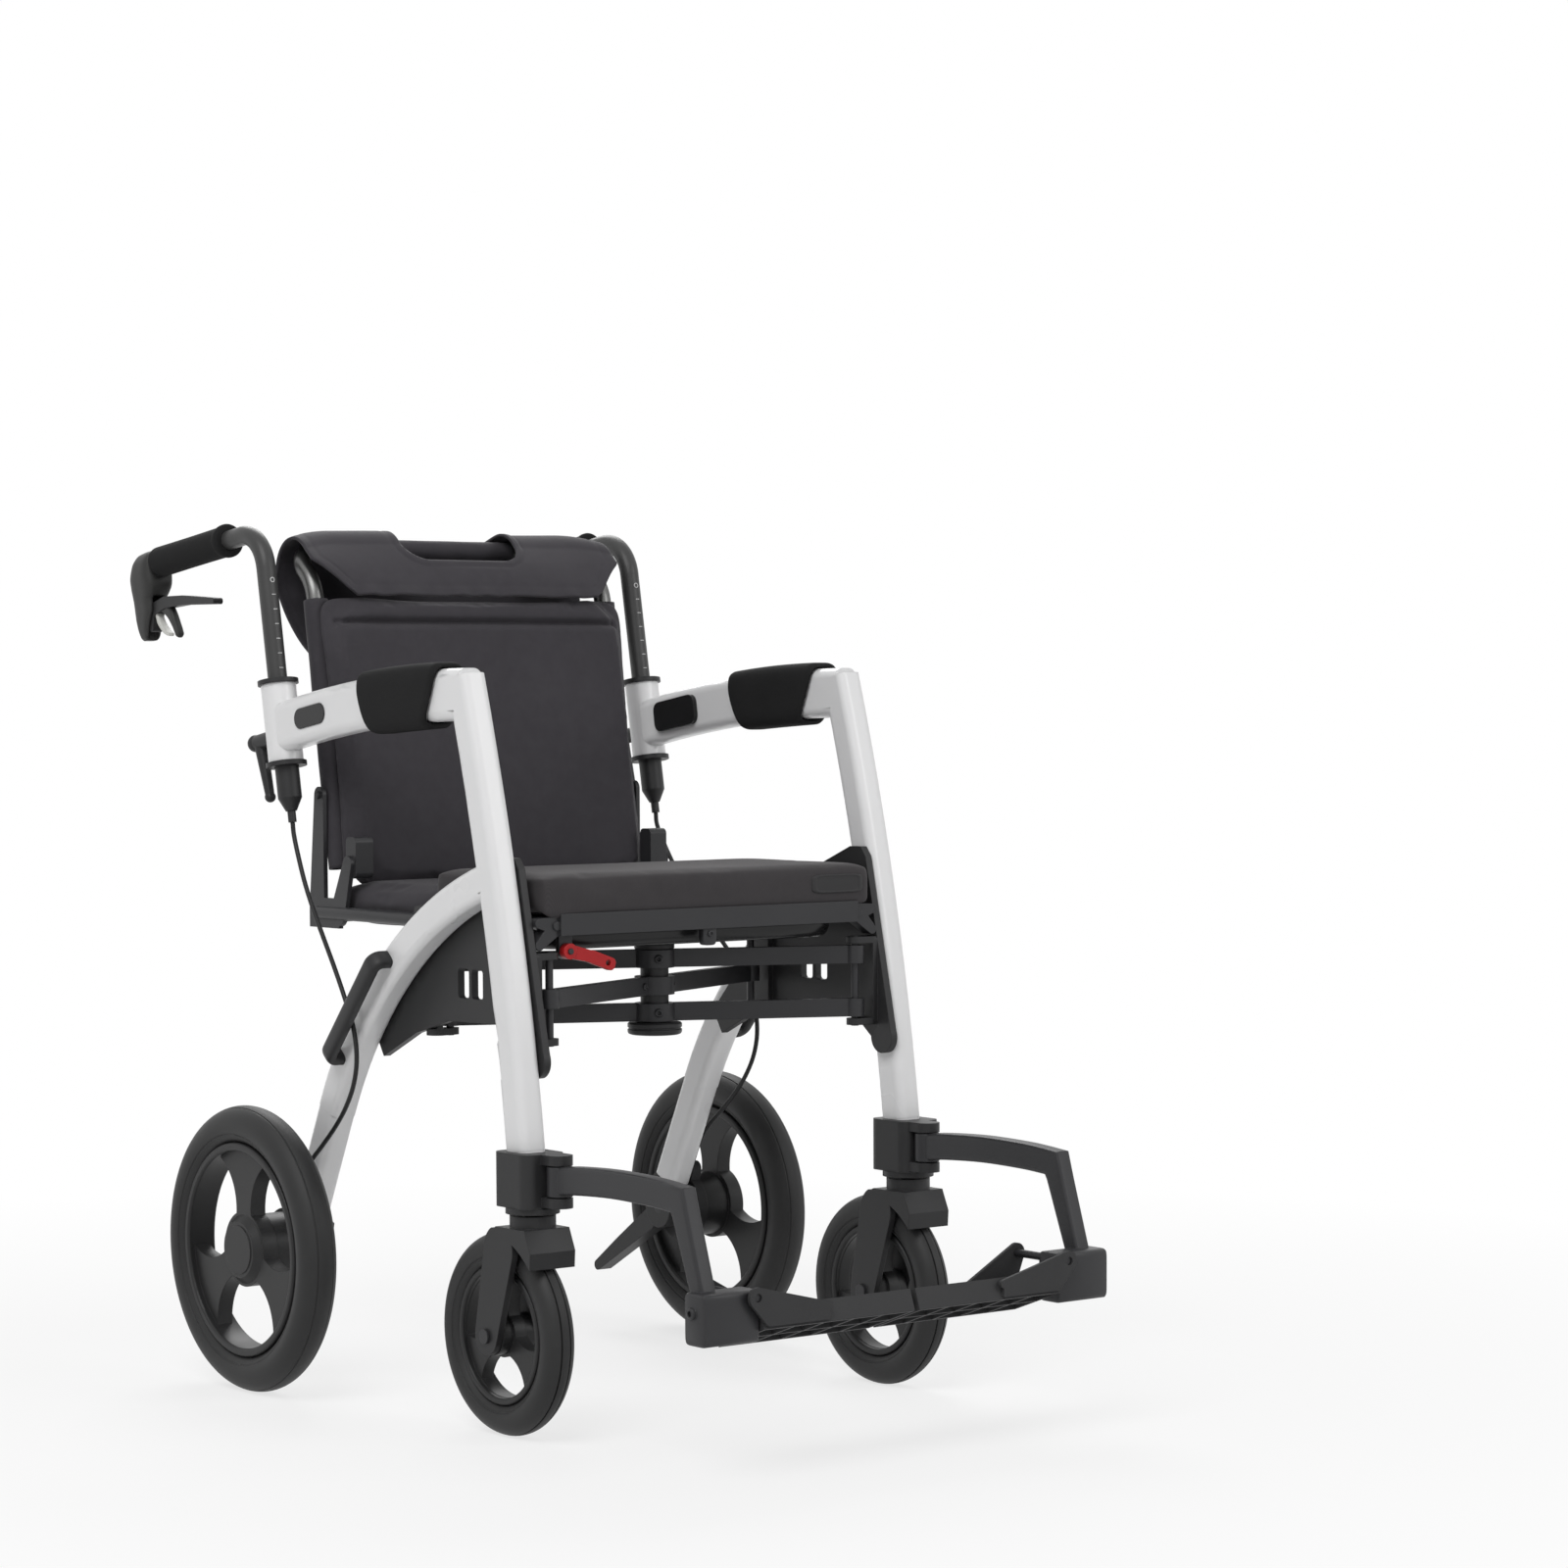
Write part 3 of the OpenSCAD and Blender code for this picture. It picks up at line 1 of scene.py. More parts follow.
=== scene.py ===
import json
import math
import bpy
import numpy as np
from mathutils import Matrix, Vector
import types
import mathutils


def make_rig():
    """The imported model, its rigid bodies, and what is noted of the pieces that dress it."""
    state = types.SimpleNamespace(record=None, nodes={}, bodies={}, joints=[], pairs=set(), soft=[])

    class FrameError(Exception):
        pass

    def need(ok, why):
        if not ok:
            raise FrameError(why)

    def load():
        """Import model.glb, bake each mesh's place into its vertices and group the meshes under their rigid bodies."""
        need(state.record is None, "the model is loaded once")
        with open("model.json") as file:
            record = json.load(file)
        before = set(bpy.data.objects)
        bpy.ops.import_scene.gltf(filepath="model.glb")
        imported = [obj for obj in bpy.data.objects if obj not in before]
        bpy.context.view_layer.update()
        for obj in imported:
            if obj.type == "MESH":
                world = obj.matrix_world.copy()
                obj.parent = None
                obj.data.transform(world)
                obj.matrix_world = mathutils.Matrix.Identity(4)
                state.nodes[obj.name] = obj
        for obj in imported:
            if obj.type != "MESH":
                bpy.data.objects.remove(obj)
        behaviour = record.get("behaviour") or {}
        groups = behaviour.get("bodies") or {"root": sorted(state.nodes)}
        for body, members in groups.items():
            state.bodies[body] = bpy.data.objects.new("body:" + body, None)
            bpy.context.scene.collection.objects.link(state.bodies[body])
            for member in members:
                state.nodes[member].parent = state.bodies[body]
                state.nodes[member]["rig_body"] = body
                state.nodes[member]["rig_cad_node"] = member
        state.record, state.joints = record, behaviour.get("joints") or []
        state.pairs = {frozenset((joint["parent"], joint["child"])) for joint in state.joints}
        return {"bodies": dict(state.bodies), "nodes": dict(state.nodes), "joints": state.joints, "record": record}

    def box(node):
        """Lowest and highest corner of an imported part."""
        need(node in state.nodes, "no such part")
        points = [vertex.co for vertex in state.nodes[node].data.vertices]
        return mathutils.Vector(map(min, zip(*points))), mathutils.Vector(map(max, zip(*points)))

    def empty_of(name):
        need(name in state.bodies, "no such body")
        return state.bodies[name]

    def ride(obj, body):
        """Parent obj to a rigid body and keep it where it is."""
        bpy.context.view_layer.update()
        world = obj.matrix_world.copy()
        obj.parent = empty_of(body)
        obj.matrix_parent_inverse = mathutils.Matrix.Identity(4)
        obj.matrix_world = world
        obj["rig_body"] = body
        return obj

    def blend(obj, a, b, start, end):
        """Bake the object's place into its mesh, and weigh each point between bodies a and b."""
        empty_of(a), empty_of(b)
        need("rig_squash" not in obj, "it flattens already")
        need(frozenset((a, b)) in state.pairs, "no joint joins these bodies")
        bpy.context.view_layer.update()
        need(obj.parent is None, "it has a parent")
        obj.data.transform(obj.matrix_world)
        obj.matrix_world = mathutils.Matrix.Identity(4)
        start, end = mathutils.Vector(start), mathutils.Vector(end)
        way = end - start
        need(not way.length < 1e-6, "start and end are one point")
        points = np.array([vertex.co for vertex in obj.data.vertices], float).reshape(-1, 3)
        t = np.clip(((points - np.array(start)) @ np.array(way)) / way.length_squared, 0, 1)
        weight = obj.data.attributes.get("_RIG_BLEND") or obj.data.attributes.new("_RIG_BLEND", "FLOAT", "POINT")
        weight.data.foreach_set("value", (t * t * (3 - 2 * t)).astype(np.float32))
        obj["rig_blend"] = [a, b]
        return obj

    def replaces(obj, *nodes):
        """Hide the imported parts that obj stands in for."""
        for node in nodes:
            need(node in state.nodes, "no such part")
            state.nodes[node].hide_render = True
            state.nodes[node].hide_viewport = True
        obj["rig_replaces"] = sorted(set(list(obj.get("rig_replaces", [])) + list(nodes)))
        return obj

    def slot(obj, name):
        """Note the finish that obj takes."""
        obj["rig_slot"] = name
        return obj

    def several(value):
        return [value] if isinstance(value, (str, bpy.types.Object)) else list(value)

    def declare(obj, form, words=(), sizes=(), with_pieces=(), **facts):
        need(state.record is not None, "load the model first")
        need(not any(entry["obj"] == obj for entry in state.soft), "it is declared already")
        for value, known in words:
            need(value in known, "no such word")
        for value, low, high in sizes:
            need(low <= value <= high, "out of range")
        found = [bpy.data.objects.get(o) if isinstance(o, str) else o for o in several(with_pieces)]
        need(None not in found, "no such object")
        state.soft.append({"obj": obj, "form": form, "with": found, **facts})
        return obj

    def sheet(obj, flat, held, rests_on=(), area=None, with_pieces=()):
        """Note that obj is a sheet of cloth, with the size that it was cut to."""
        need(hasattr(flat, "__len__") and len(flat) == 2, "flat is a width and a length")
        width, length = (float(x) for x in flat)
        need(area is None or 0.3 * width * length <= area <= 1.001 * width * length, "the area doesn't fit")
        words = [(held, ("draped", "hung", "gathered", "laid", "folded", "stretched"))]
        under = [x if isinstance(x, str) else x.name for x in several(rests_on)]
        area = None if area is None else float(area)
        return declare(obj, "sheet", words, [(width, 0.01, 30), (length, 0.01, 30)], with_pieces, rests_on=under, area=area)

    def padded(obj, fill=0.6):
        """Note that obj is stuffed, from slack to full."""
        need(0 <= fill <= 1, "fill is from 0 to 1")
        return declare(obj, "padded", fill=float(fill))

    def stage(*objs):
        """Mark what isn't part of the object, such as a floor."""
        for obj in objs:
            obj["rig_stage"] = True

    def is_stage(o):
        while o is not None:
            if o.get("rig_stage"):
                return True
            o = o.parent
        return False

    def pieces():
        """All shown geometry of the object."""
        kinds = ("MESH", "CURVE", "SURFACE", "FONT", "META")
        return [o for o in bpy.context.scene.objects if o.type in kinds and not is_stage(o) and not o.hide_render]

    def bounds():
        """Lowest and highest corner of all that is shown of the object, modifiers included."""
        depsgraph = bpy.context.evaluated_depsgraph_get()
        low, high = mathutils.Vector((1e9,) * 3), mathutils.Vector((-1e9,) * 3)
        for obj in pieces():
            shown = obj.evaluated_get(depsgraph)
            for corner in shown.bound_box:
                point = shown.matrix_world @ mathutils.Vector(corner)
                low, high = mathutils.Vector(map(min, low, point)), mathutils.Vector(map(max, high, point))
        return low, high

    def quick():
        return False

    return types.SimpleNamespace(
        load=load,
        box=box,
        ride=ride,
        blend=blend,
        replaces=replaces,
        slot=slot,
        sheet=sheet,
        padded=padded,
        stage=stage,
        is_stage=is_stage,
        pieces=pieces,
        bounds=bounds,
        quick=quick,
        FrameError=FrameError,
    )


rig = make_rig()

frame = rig.load()
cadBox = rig.bounds()
scene = bpy.context.scene
print("frame loaded,", len(frame["nodes"]), "nodes")

rearAxleX = -0.1962157  # where the rear axle stands along the chair
sideY = 241.0  # how far the middle of each side frame stands from the chair's middle
bothHands = (("right", -1), ("left", 1))


# a place measured forward from the rear axle, in millimetres, as metres in the frame
def place(x, y, z):
    x, y, z = np.broadcast_arrays(*(np.asarray(v, float) for v in (x, y, z)))
    return np.stack([x / 1000 + rearAxleX, y / 1000, z / 1000], -1)


# a place in a side frame that leans back about its origin
def leaned(origin, lean, x, y, z):
    c, s = math.cos(math.radians(lean)), math.sin(math.radians(lean))
    return place(origin[0] + x * c - z * s, y, origin[1] + x * s + z * c)


# camera, light and floor of the studio
studio = {
    "cameraAt": (3624.7, -2436.2, 728.3), "forward": (-0.79954, 0.59664, -0.06905), "rollDegrees": -0.352,
    "sensor": 36, "lens": 90.84, "shift": (0.0625, 0.1229), "clipEnd": 60,
    "ambient": 0.33, "lampsFace": (0.05, 0, 0.45),
    "lamps": [  # name, place, size, power
        ("keyLamp", (1.4, -2.3, 3.4), 2.4, 66),
        ("fillLamp", (3.2, 1.6, 2.2), 2.0, 26),
        ("backLamp", (-2.2, 1.2, 2.8), 2.0, 42),
    ],
    "floorSize": 9.0, "floorColour": (0.94, 0.94, 0.94, 1), "floorGlow": 0.72, "shadowReach": 0.75, "shadowFade": 1.1,
}


# the camera's axes: across and up from the way it looks, then rolled about it
def addCamera():
    forward = Vector(studio["forward"]).normalized()
    side = forward.cross(Vector((0, 0, 1))).normalized()
    up = side.cross(forward)
    r = math.radians(studio["rollDegrees"])
    right = side * math.cos(r) + up * math.sin(r)
    top = up * math.cos(r) - side * math.sin(r)
    data = bpy.data.cameras.new("viewCamera")
    data.sensor_width = studio["sensor"]
    data.lens = studio["lens"]
    data.shift_x, data.shift_y = studio["shift"]
    data.clip_end = studio["clipEnd"]
    cam = bpy.data.objects.new("viewCamera", data)
    scene.collection.objects.link(cam)
    m = Matrix((right, top, -forward)).transposed().to_4x4()
    m.translation = Vector(place(*studio["cameraAt"]))
    cam.matrix_world = m
    scene.camera = cam


# round soft lamps, each turned to face the chair
def addLamps():
    for name, spot, size, power in studio["lamps"]:
        data = bpy.data.lights.new(name, "AREA")
        data.shape = "DISK"
        data.size = size
        data.energy = power
        lamp = bpy.data.objects.new(name, data)
        scene.collection.objects.link(lamp)
        lamp.location = spot
        lamp.rotation_euler = (Vector(studio["lampsFace"]) - Vector(spot)).to_track_quat("-Z", "Y").to_euler()


addCamera()
addLamps()
scene.view_settings.view_transform = "Standard"


# shader maths: a socket that adds, multiplies and mixes by adding nodes
class Signal:
    def __init__(self, paint, socket):
        self.paint, self.socket = paint, socket

    def math(self, operation, *others):
        return self.paint.add("ShaderNodeMath", {"operation": operation}, dict(enumerate((self,) + others)))

    def __add__(self, o): return self.math("ADD", o)
    def __radd__(self, o): return self.math("ADD", o)
    def __sub__(self, o): return self.math("SUBTRACT", o)
    def __rsub__(self, o): return self.math("MULTIPLY", -1.0) + o
    def __mul__(self, o): return self.math("MULTIPLY", o)
    def __rmul__(self, o): return self.math("MULTIPLY", o)
    def __truediv__(self, o): return self.math("DIVIDE", o)
    def sine(self): return self.math("SINE")
    def least(self, o): return self.math("MINIMUM", o)
    def most(self, o): return self.math("MAXIMUM", o)

    # another output of the same node
    def other(self, key): return Signal(self.paint, self.socket.node.outputs[key])


# the nodes of one material or world
class Paint:
    def __init__(self, name, kind="materials"):
        self.block = getattr(bpy.data, kind).new(name)
        self.block.use_nodes = True
        self.tree = self.block.node_tree
        self.shader = self.tree.nodes.get("Principled BSDF")

    # one node: its settings first, then the values or links of its sockets
    def add(self, kind, settings=None, sockets=None, out=0):
        node = self.tree.nodes.new(kind)
        for key, value in (settings or {}).items():
            setattr(node, key, value)
        for key, value in (sockets or {}).items():
            self.feed(node.inputs[key], value)
        return Signal(self, node.outputs[out])

    def feed(self, socket, value):
        if isinstance(value, Signal):
            self.tree.links.new(value.socket, socket)
        else:
            socket.default_value = value

    # inputs of the main shader, by name with _ for a space
    def set(self, **inputs):
        for key, value in inputs.items():
            self.feed(self.shader.inputs[key.replace("_", " ")], value)
        return self.block

    def coords(self, turn=(0, 0, 0)):
        spot = self.add("ShaderNodeTexCoord", out="Object")
        return self.add("ShaderNodeMapping", {}, {"Vector": spot, "Rotation": turn})

    def noise(self, scale, detail=3.0, rough=0.5):
        sockets = {"Vector": self.coords(), "Scale": scale, "Detail": detail, "Roughness": rough}
        return self.add("ShaderNodeTexNoise", {}, sockets, "Fac")

    def mixColour(self, factor, a, b):
        return self.add("ShaderNodeMix", {"data_type": "RGBA"}, {"Factor": factor, 6: a, 7: b}, 2)

    def bump(self, height, distance, strength, normal=None):
        sockets = {"Height": height, "Distance": distance, "Strength": strength}
        if normal is not None:
            sockets["Normal"] = normal
        return self.add("ShaderNodeBump", {}, sockets)

    def roundEdges(self, radius):
        return self.add("ShaderNodeBevel", {"samples": 4}, {"Radius": radius})


# a colour multiplied and lifted a little
def paler(colour, times, more):
    return tuple(min(1, c * times + more) for c in colour[:3]) + (1,)


# white lacquer: a cloud of two near whites under a thin coat, with a faint peel
def whitePaint():
    p = Paint("whitePaint")
    peel, cloud = p.noise(420, 2), p.noise(7, 3)
    return p.set(Base_Color=p.mixColour(cloud, (0.80, 0.80, 0.805, 1), (0.86, 0.86, 0.865, 1)),
                 Roughness=0.24 + cloud * 0.1, Coat_Weight=0.25, Coat_Roughness=0.12,
                 Normal=p.bump(peel, 0.00004, 0.35, p.roundEdges(0.002)))


# moulded plastic: a cloud and a fine grain between a colour and a paler one, the grain as relief too
def mouldedPlastic(name, colour, rough, grain=900, depth=0.00006, radius=0.0012, shine=0.26):
    p = Paint(name)
    fine, cloud = p.noise(grain, 2, 0.6), p.noise(18, 4)
    return p.set(Base_Color=p.mixColour(cloud * 0.75 + fine * 0.25, colour, paler(colour, 1.55, 0.004)),
                 Roughness=rough - 0.07 + cloud * 0.16, Specular_IOR_Level=shine,
                 Normal=p.bump(fine, depth, 0.5, p.roundEdges(radius)))


# painted metal: a cloud between a colour and a paler one, with a faint peel
def paintedMetal(name, colour, rough, metal=0.0):
    p = Paint(name)
    peel, cloud = p.noise(650, 2), p.noise(11, 3)
    return p.set(Base_Color=p.mixColour(cloud, colour, paler(colour, 1.35, 0.003)), Roughness=rough + cloud * 0.12,
                 Metallic=metal, Specular_IOR_Level=0.32, Normal=p.bump(peel, 0.00005, 0.4, p.roundEdges(0.0012)))


# tyre rubber: patches of dust on black, with a fine grain
def tyreRubber():
    p = Paint("tyreRubber")
    dust, fine = p.noise(26, 5, 0.6), p.noise(1100, 2)
    return p.set(Base_Color=p.mixColour(dust, (0.016, 0.016, 0.0163, 1), (0.034, 0.034, 0.0345, 1)),
                 Roughness=0.44 + dust * 0.18, Specular_IOR_Level=0.3,
                 Normal=p.bump(fine, 0.00008, 0.5, p.roundEdges(0.0012)))


# plain weave from two crossed sine threads, with slubs and a faint nap
def wovenCloth(name, colour, pale, turn=(0, 0, 0), thread=5200.0):
    p = Paint(name)
    x = p.add("ShaderNodeSeparateXYZ", {}, {0: p.coords(turn)})
    y, z = x.other(1), x.other(2)
    across = ((x + y * 0.35) * thread).sine()
    along = ((z + y * 0.8 - x * 0.25) * thread).sine()
    weave = across * along * 0.5 + 0.5
    slub, fold = p.noise(55, 4, 0.65), p.noise(9, 3)
    height = weave * 0.7 + slub * 0.5
    return p.set(Base_Color=p.mixColour((weave * 0.35 + slub * 0.45 + fold * 0.25), colour, pale),
                 Roughness=0.66 + slub * 0.16, Sheen_Weight=0.12, Sheen_Roughness=0.45, Specular_IOR_Level=0.16,
                 Normal=p.bump(fold, 0.0016, 0.35, p.bump(height, 0.00012, 0.55)))


# foam: small pores and a soft cloud, both as colour and relief
def foamRubber(name, colour, pale):
    p = Paint(name)
    pores = p.add("ShaderNodeTexVoronoi", {}, {"Vector": p.coords(), "Scale": 900.0}, "Distance")
    cloud = p.noise(30, 4)
    return p.set(Base_Color=p.mixColour(cloud * 0.7 + pores * 0.3, colour, pale), Roughness=0.78 + cloud * 0.14,
                 Specular_IOR_Level=0.14, Normal=p.bump(pores, 0.00025, 0.6, p.bump(cloud, 0.0008, 0.2)))


finishes = {
    "white": whitePaint(),
    "plastic": mouldedPlastic("blackPlastic", (0.019, 0.019, 0.0198, 1), 0.42),
    "spoke": mouldedPlastic("wheelPlastic", (0.017, 0.017, 0.0174, 1), 0.40, 700),
    "metal": paintedMetal("satinBlackMetal", (0.023, 0.023, 0.025, 1), 0.34),
    "stem": paintedMetal("stemBlack", (0.042, 0.042, 0.042, 1), 0.32),
    "tube": paintedMetal("greyTube", (0.13, 0.13, 0.128, 1), 0.27, 0.9),
    "tyre": tyreRubber(),
    "cloth": wovenCloth("backCloth", (0.027, 0.0252, 0.0295, 1), (0.075, 0.070, 0.079, 1)),
    "seatCloth": wovenCloth("seatCloth", (0.028, 0.0258, 0.0272, 1), (0.066, 0.061, 0.064, 1), (0, 0.6, 0.3), 4600),
    "foam": foamRubber("blackFoam", (0.011, 0.011, 0.0113, 1), (0.024, 0.024, 0.0245, 1)),
    "hood": mouldedPlastic("hoodPlastic", (0.029, 0.029, 0.0285, 1), 0.44, 800, 0.00006, 0.003),
    "gloss": mouldedPlastic("glossPlastic", (0.012, 0.012, 0.0125, 1), 0.22, 1200, 0.00002),
    "plate": mouldedPlastic("footplatePlastic", (0.034, 0.034, 0.035, 1), 0.56, 500, 0.0001, 0.0012, 0.16),
    "patch": mouldedPlastic("patchRubber", (0.020, 0.0195, 0.0205, 1), 0.5, 600, 0.0001),
    "pale": mouldedPlastic("palePlastic", (0.55, 0.55, 0.52, 1), 0.4, 700, 0.00004),
    "mark": mouldedPlastic("markPaint", (0.55, 0.55, 0.55, 1), 0.5, 1500, 0.00002, 0.0002),
    "red": mouldedPlastic("redPlastic", (0.34, 0.010, 0.012, 1), 0.32, 500, 0.00003),
    "cable": mouldedPlastic("cableSheath", (0.012, 0.012, 0.0125, 1), 0.40, 1500, 0.00003, 0.0003),
}
nodeFinish = {  # by a part of the node's name, the longest that fits; the rest are plastic
    "side_frame": "white", "_tyre": "tyre", "_wheel": "spoke", "axle": "metal", "pins": "metal",
    "footplate_pin": "metal", "footplate": "plate", "handle_stem": "stem", "cross_arm": "metal", "seat_tray": "metal",
    "backrest_tube": "tube", "backrest_carrier": "metal", "release_lever": "red", "swivel_lock_covers": "gloss",
}


def finishFor(node):
    best = max((key for key in nodeFinish if key in node), key=len, default=None)
    return finishes[nodeFinish[best] if best else "plastic"]


for node, obj in frame["nodes"].items():
    obj.data.materials.clear()
    obj.data.materials.append(finishFor(node))
print("finishes on", len(frame["nodes"]), "nodes")


# evenly spaced angles round a ring
def around(count):
    return np.linspace(0, 2 * np.pi, count, endpoint=False)


# a grid of one parameter along and an angle round
def ringGrid(along, count):
    return np.meshgrid(along, around(count), indexing="ij")


# a number's size raised to a power, its sign kept: below 1 it makes a circle boxy
def boxy(v, power):
    return np.sign(v) * np.abs(v) ** power


# 0 to 1, level at both ends
def eased(t):
    return t ** 2 * (3 - 2 * t)


# a quarter circle: how far a rolled edge has risen, 0 to 1, at a run from its end
def rolled(run, radius):
    return np.sqrt(np.clip(1 - (1 - np.clip(run / radius, 0, 1)) ** 2, 0, 1))


# a soft step down from 1 to 0 at a place
def fallAt(v, spot, soft):
    return 1 / (1 + np.exp((v - spot) / soft))


# four neighbours of a grid to a face, going round when closed
def gridFaces(rows, cols, closed=False):
    j, i = np.meshgrid(np.arange(rows - 1), np.arange(cols if closed else cols - 1), indexing="ij")
    n = (i + 1) % cols
    return np.stack([j * cols + i, j * cols + n, (j + 1) * cols + n, (j + 1) * cols + i], -1).reshape(-1, 4)


# a ring of profile points carried along a path: closed with a cap of one face at both ends
def sweptFaces(rings, sides):
    faces = gridFaces(rings, sides, True)[:, ::-1].tolist()
    last = (rings - 1) * sides
    return faces + [list(range(sides)), [last + k for k in range(sides)][::-1]]


# the same faces, facing the other way
def turned(faces):
    return faces[:, ::-1] if isinstance(faces, np.ndarray) else [f[::-1] for f in faces]


def addMesh(name, points, faces, finish, body=None, smooth=True):
    mesh = bpy.data.meshes.new(name)
    faces = faces.tolist() if isinstance(faces, np.ndarray) else faces
    mesh.from_pydata(np.asarray(points, float).reshape(-1, 3).tolist(), [], faces)
    mesh.update()
    mesh.polygons.foreach_set("use_smooth", np.full(len(mesh.polygons), smooth))
    mesh.materials.append(finishes[finish])
    obj = bpy.data.objects.new(name, mesh)
    scene.collection.objects.link(obj)
    if body:
        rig.ride(obj, body)
    return obj


# thickness for a sheet, in millimetres: all inwards, or half to each side at offset 0
def addWall(obj, thick, offset=-1):
    wall = obj.modifiers.new("wall", "SOLIDIFY")
    wall.thickness, wall.offset = thick / 1000, offset


# a cubic curve through points, whose slope at each is half the step between its neighbours
def smoothPath(points, each):
    p = np.asarray(points, float)
    a = np.vstack([2 * p[0] - p[1], p, 2 * p[-1] - p[-2]])
    t = np.linspace(0, 1, each, endpoint=False)[:, None]
    parts = [0.5 * (2 * a[i] + (a[i + 1] - a[i - 1]) * t
                    + (2 * a[i - 1] - 5 * a[i] + 4 * a[i + 1] - a[i + 2]) * t ** 2
                    + (3 * a[i] - a[i - 1] - 3 * a[i + 1] + a[i + 2]) * t ** 3) for i in range(1, len(p))]
    return np.vstack(parts + [p[-1:]])


# vectors in rows, each brought to length 1
def unit(rows):
    return rows / np.linalg.norm(rows, axis=1)[:, None]


# brake cables, from the boots down behind the grab bars to the brakes
cables = {
    "diameter": 5.0, "sides": 12, "each": 5, "stem": (-37.39, 709.05), "lean": 10.0, "bootEnd": 107.4, "straight": 14,
    "route": [(-4, 243, 566), (14, 246, 538), (36, 249, 510), (62, 253, 482), (90, 258, 454), (116, 262, 424),
              (134, 263, 394), (140, 263, 364), (134, 263, 336), (118, 263, 310), (96, 263, 287), (71, 263, 266),
              (47, 263, 247), (31, 262.5, 227), (21, 262, 206.7)],
    "stillFrom": (62, 253, 482),
}


# a circle carried along the route; the run near the boot moves with the slider
def addCables():
    c = cables
    lean = math.radians(c["lean"])
    down = np.array([math.sin(lean), 0, -math.cos(lean)])
    top = np.array([c["stem"][0], sideY, c["stem"][1]]) + c["bootEnd"] * down
    path = smoothPath([top, top + c["straight"] * down] + c["route"], c["each"])
    way = unit(np.gradient(path, axis=0))
    side = unit(np.cross([0, 1, 0], way))
    other = np.cross(way, side)
    turn = around(c["sides"])[None, :, None]
    ring = path[:, None] + c["diameter"] / 2 * (np.cos(turn) * side[:, None] + np.sin(turn) * other[:, None])
    faces = sweptFaces(len(path), c["sides"])
    for name, sign in bothHands:
        obj = addMesh(name + "BrakeCable", place(ring[..., 0], ring[..., 1] * sign, ring[..., 2]),
                      turned(faces) if sign > 0 else faces, "cable")
        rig.replaces(obj, name + "_brake_cable")
        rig.slot(obj, "cable_rubber")
        spot = lambda p: tuple(place(p[0], p[1] * sign, p[2]))
        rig.blend(obj, name + "_slider", "frame", spot(top), spot(c["stillFrom"]))


addCables()
print("cables made")

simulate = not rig.quick()
swelling = {"frames": 20, "quality": 4, "stiffness": 20}


# a boxy closed pad: a rounded-box surface of two angles, its sides drawn in between the corners
def padPoints(w, d, h, boxSide, boxTop, drawIn, rows=48, cols=120):
    up = np.linspace(-np.pi / 2, np.pi / 2, rows)[:, None]
    turn = around(cols)[None, :]
    wide = boxy(np.cos(up), boxTop)
    x = boxy(np.cos(turn), boxSide) * wide
    y = boxy(np.sin(turn), boxSide) * wide
    z = boxy(np.sin(up), boxTop) + 0 * turn
    return np.stack([x * (1 - drawIn * (1 - y ** 2)) * w / 2, y * (1 - drawIn * (1 - x ** 2)) * d / 2, z * h / 2], -1)


def coordsOf(obj):
    co = np.empty(len(obj.data.vertices) * 3)
    obj.data.vertices.foreach_get("co", co)
    return co.reshape(-1, 3)


def setCoords(obj, co):
    obj.data.vertices.foreach_set("co", np.ascontiguousarray(co).ravel())
    obj.data.update()


# gas pressure swells the pad as cloth, and no point moves further than the cap
def swell(obj, pressure, cap, voxel=0.005):
    obj.data.remesh_voxel_size = voxel
    bpy.context.view_layer.objects.active = obj
    obj.select_set(True)
    bpy.ops.object.voxel_remesh()
    obj.data.polygons.foreach_set("use_smooth", np.ones(len(obj.data.polygons), bool))
    if simulate:
        start = coordsOf(obj)
        cloth = obj.modifiers.new("swell", "CLOTH")
        s = cloth.settings
        s.quality = swelling["quality"]
        s.use_pressure = True
        s.uniform_pressure_force = pressure
        s.effector_weights.gravity = 0
        s.tension_stiffness = s.compression_stiffness = swelling["stiffness"]
        for f in range(1, swelling["frames"] + 1):
            scene.frame_set(f)
        move = coordsOf(obj.evaluated_get(bpy.context.evaluated_depsgraph_get())) - start
        obj.modifiers.remove(cloth)
        scene.frame_set(1)
        far = np.linalg.norm(move, axis=1)[:, None]
        setCoords(obj, start + move * np.minimum(1, cap / np.maximum(far, 1e-9)))
    obj.select_set(False)


def smoothPad(obj):
    soft = obj.modifiers.new("smooth", "SUBSURF")
    soft.levels = soft.render_levels = 1


seatPad = {
    "inset": 1.0, "wider": 7.0, "box": (0.08, 0.15, 0.008), "pressure": 3.0, "cap": 0.003, "base": 0.0004,
    "skirt": 0.007, "skirtFrom": 0.016, "skirtOver": 0.008, "seamDrop": 9.0, "seamDepth": 1.6, "seamWide": 2.2,
    "sideShare": 0.9,
}


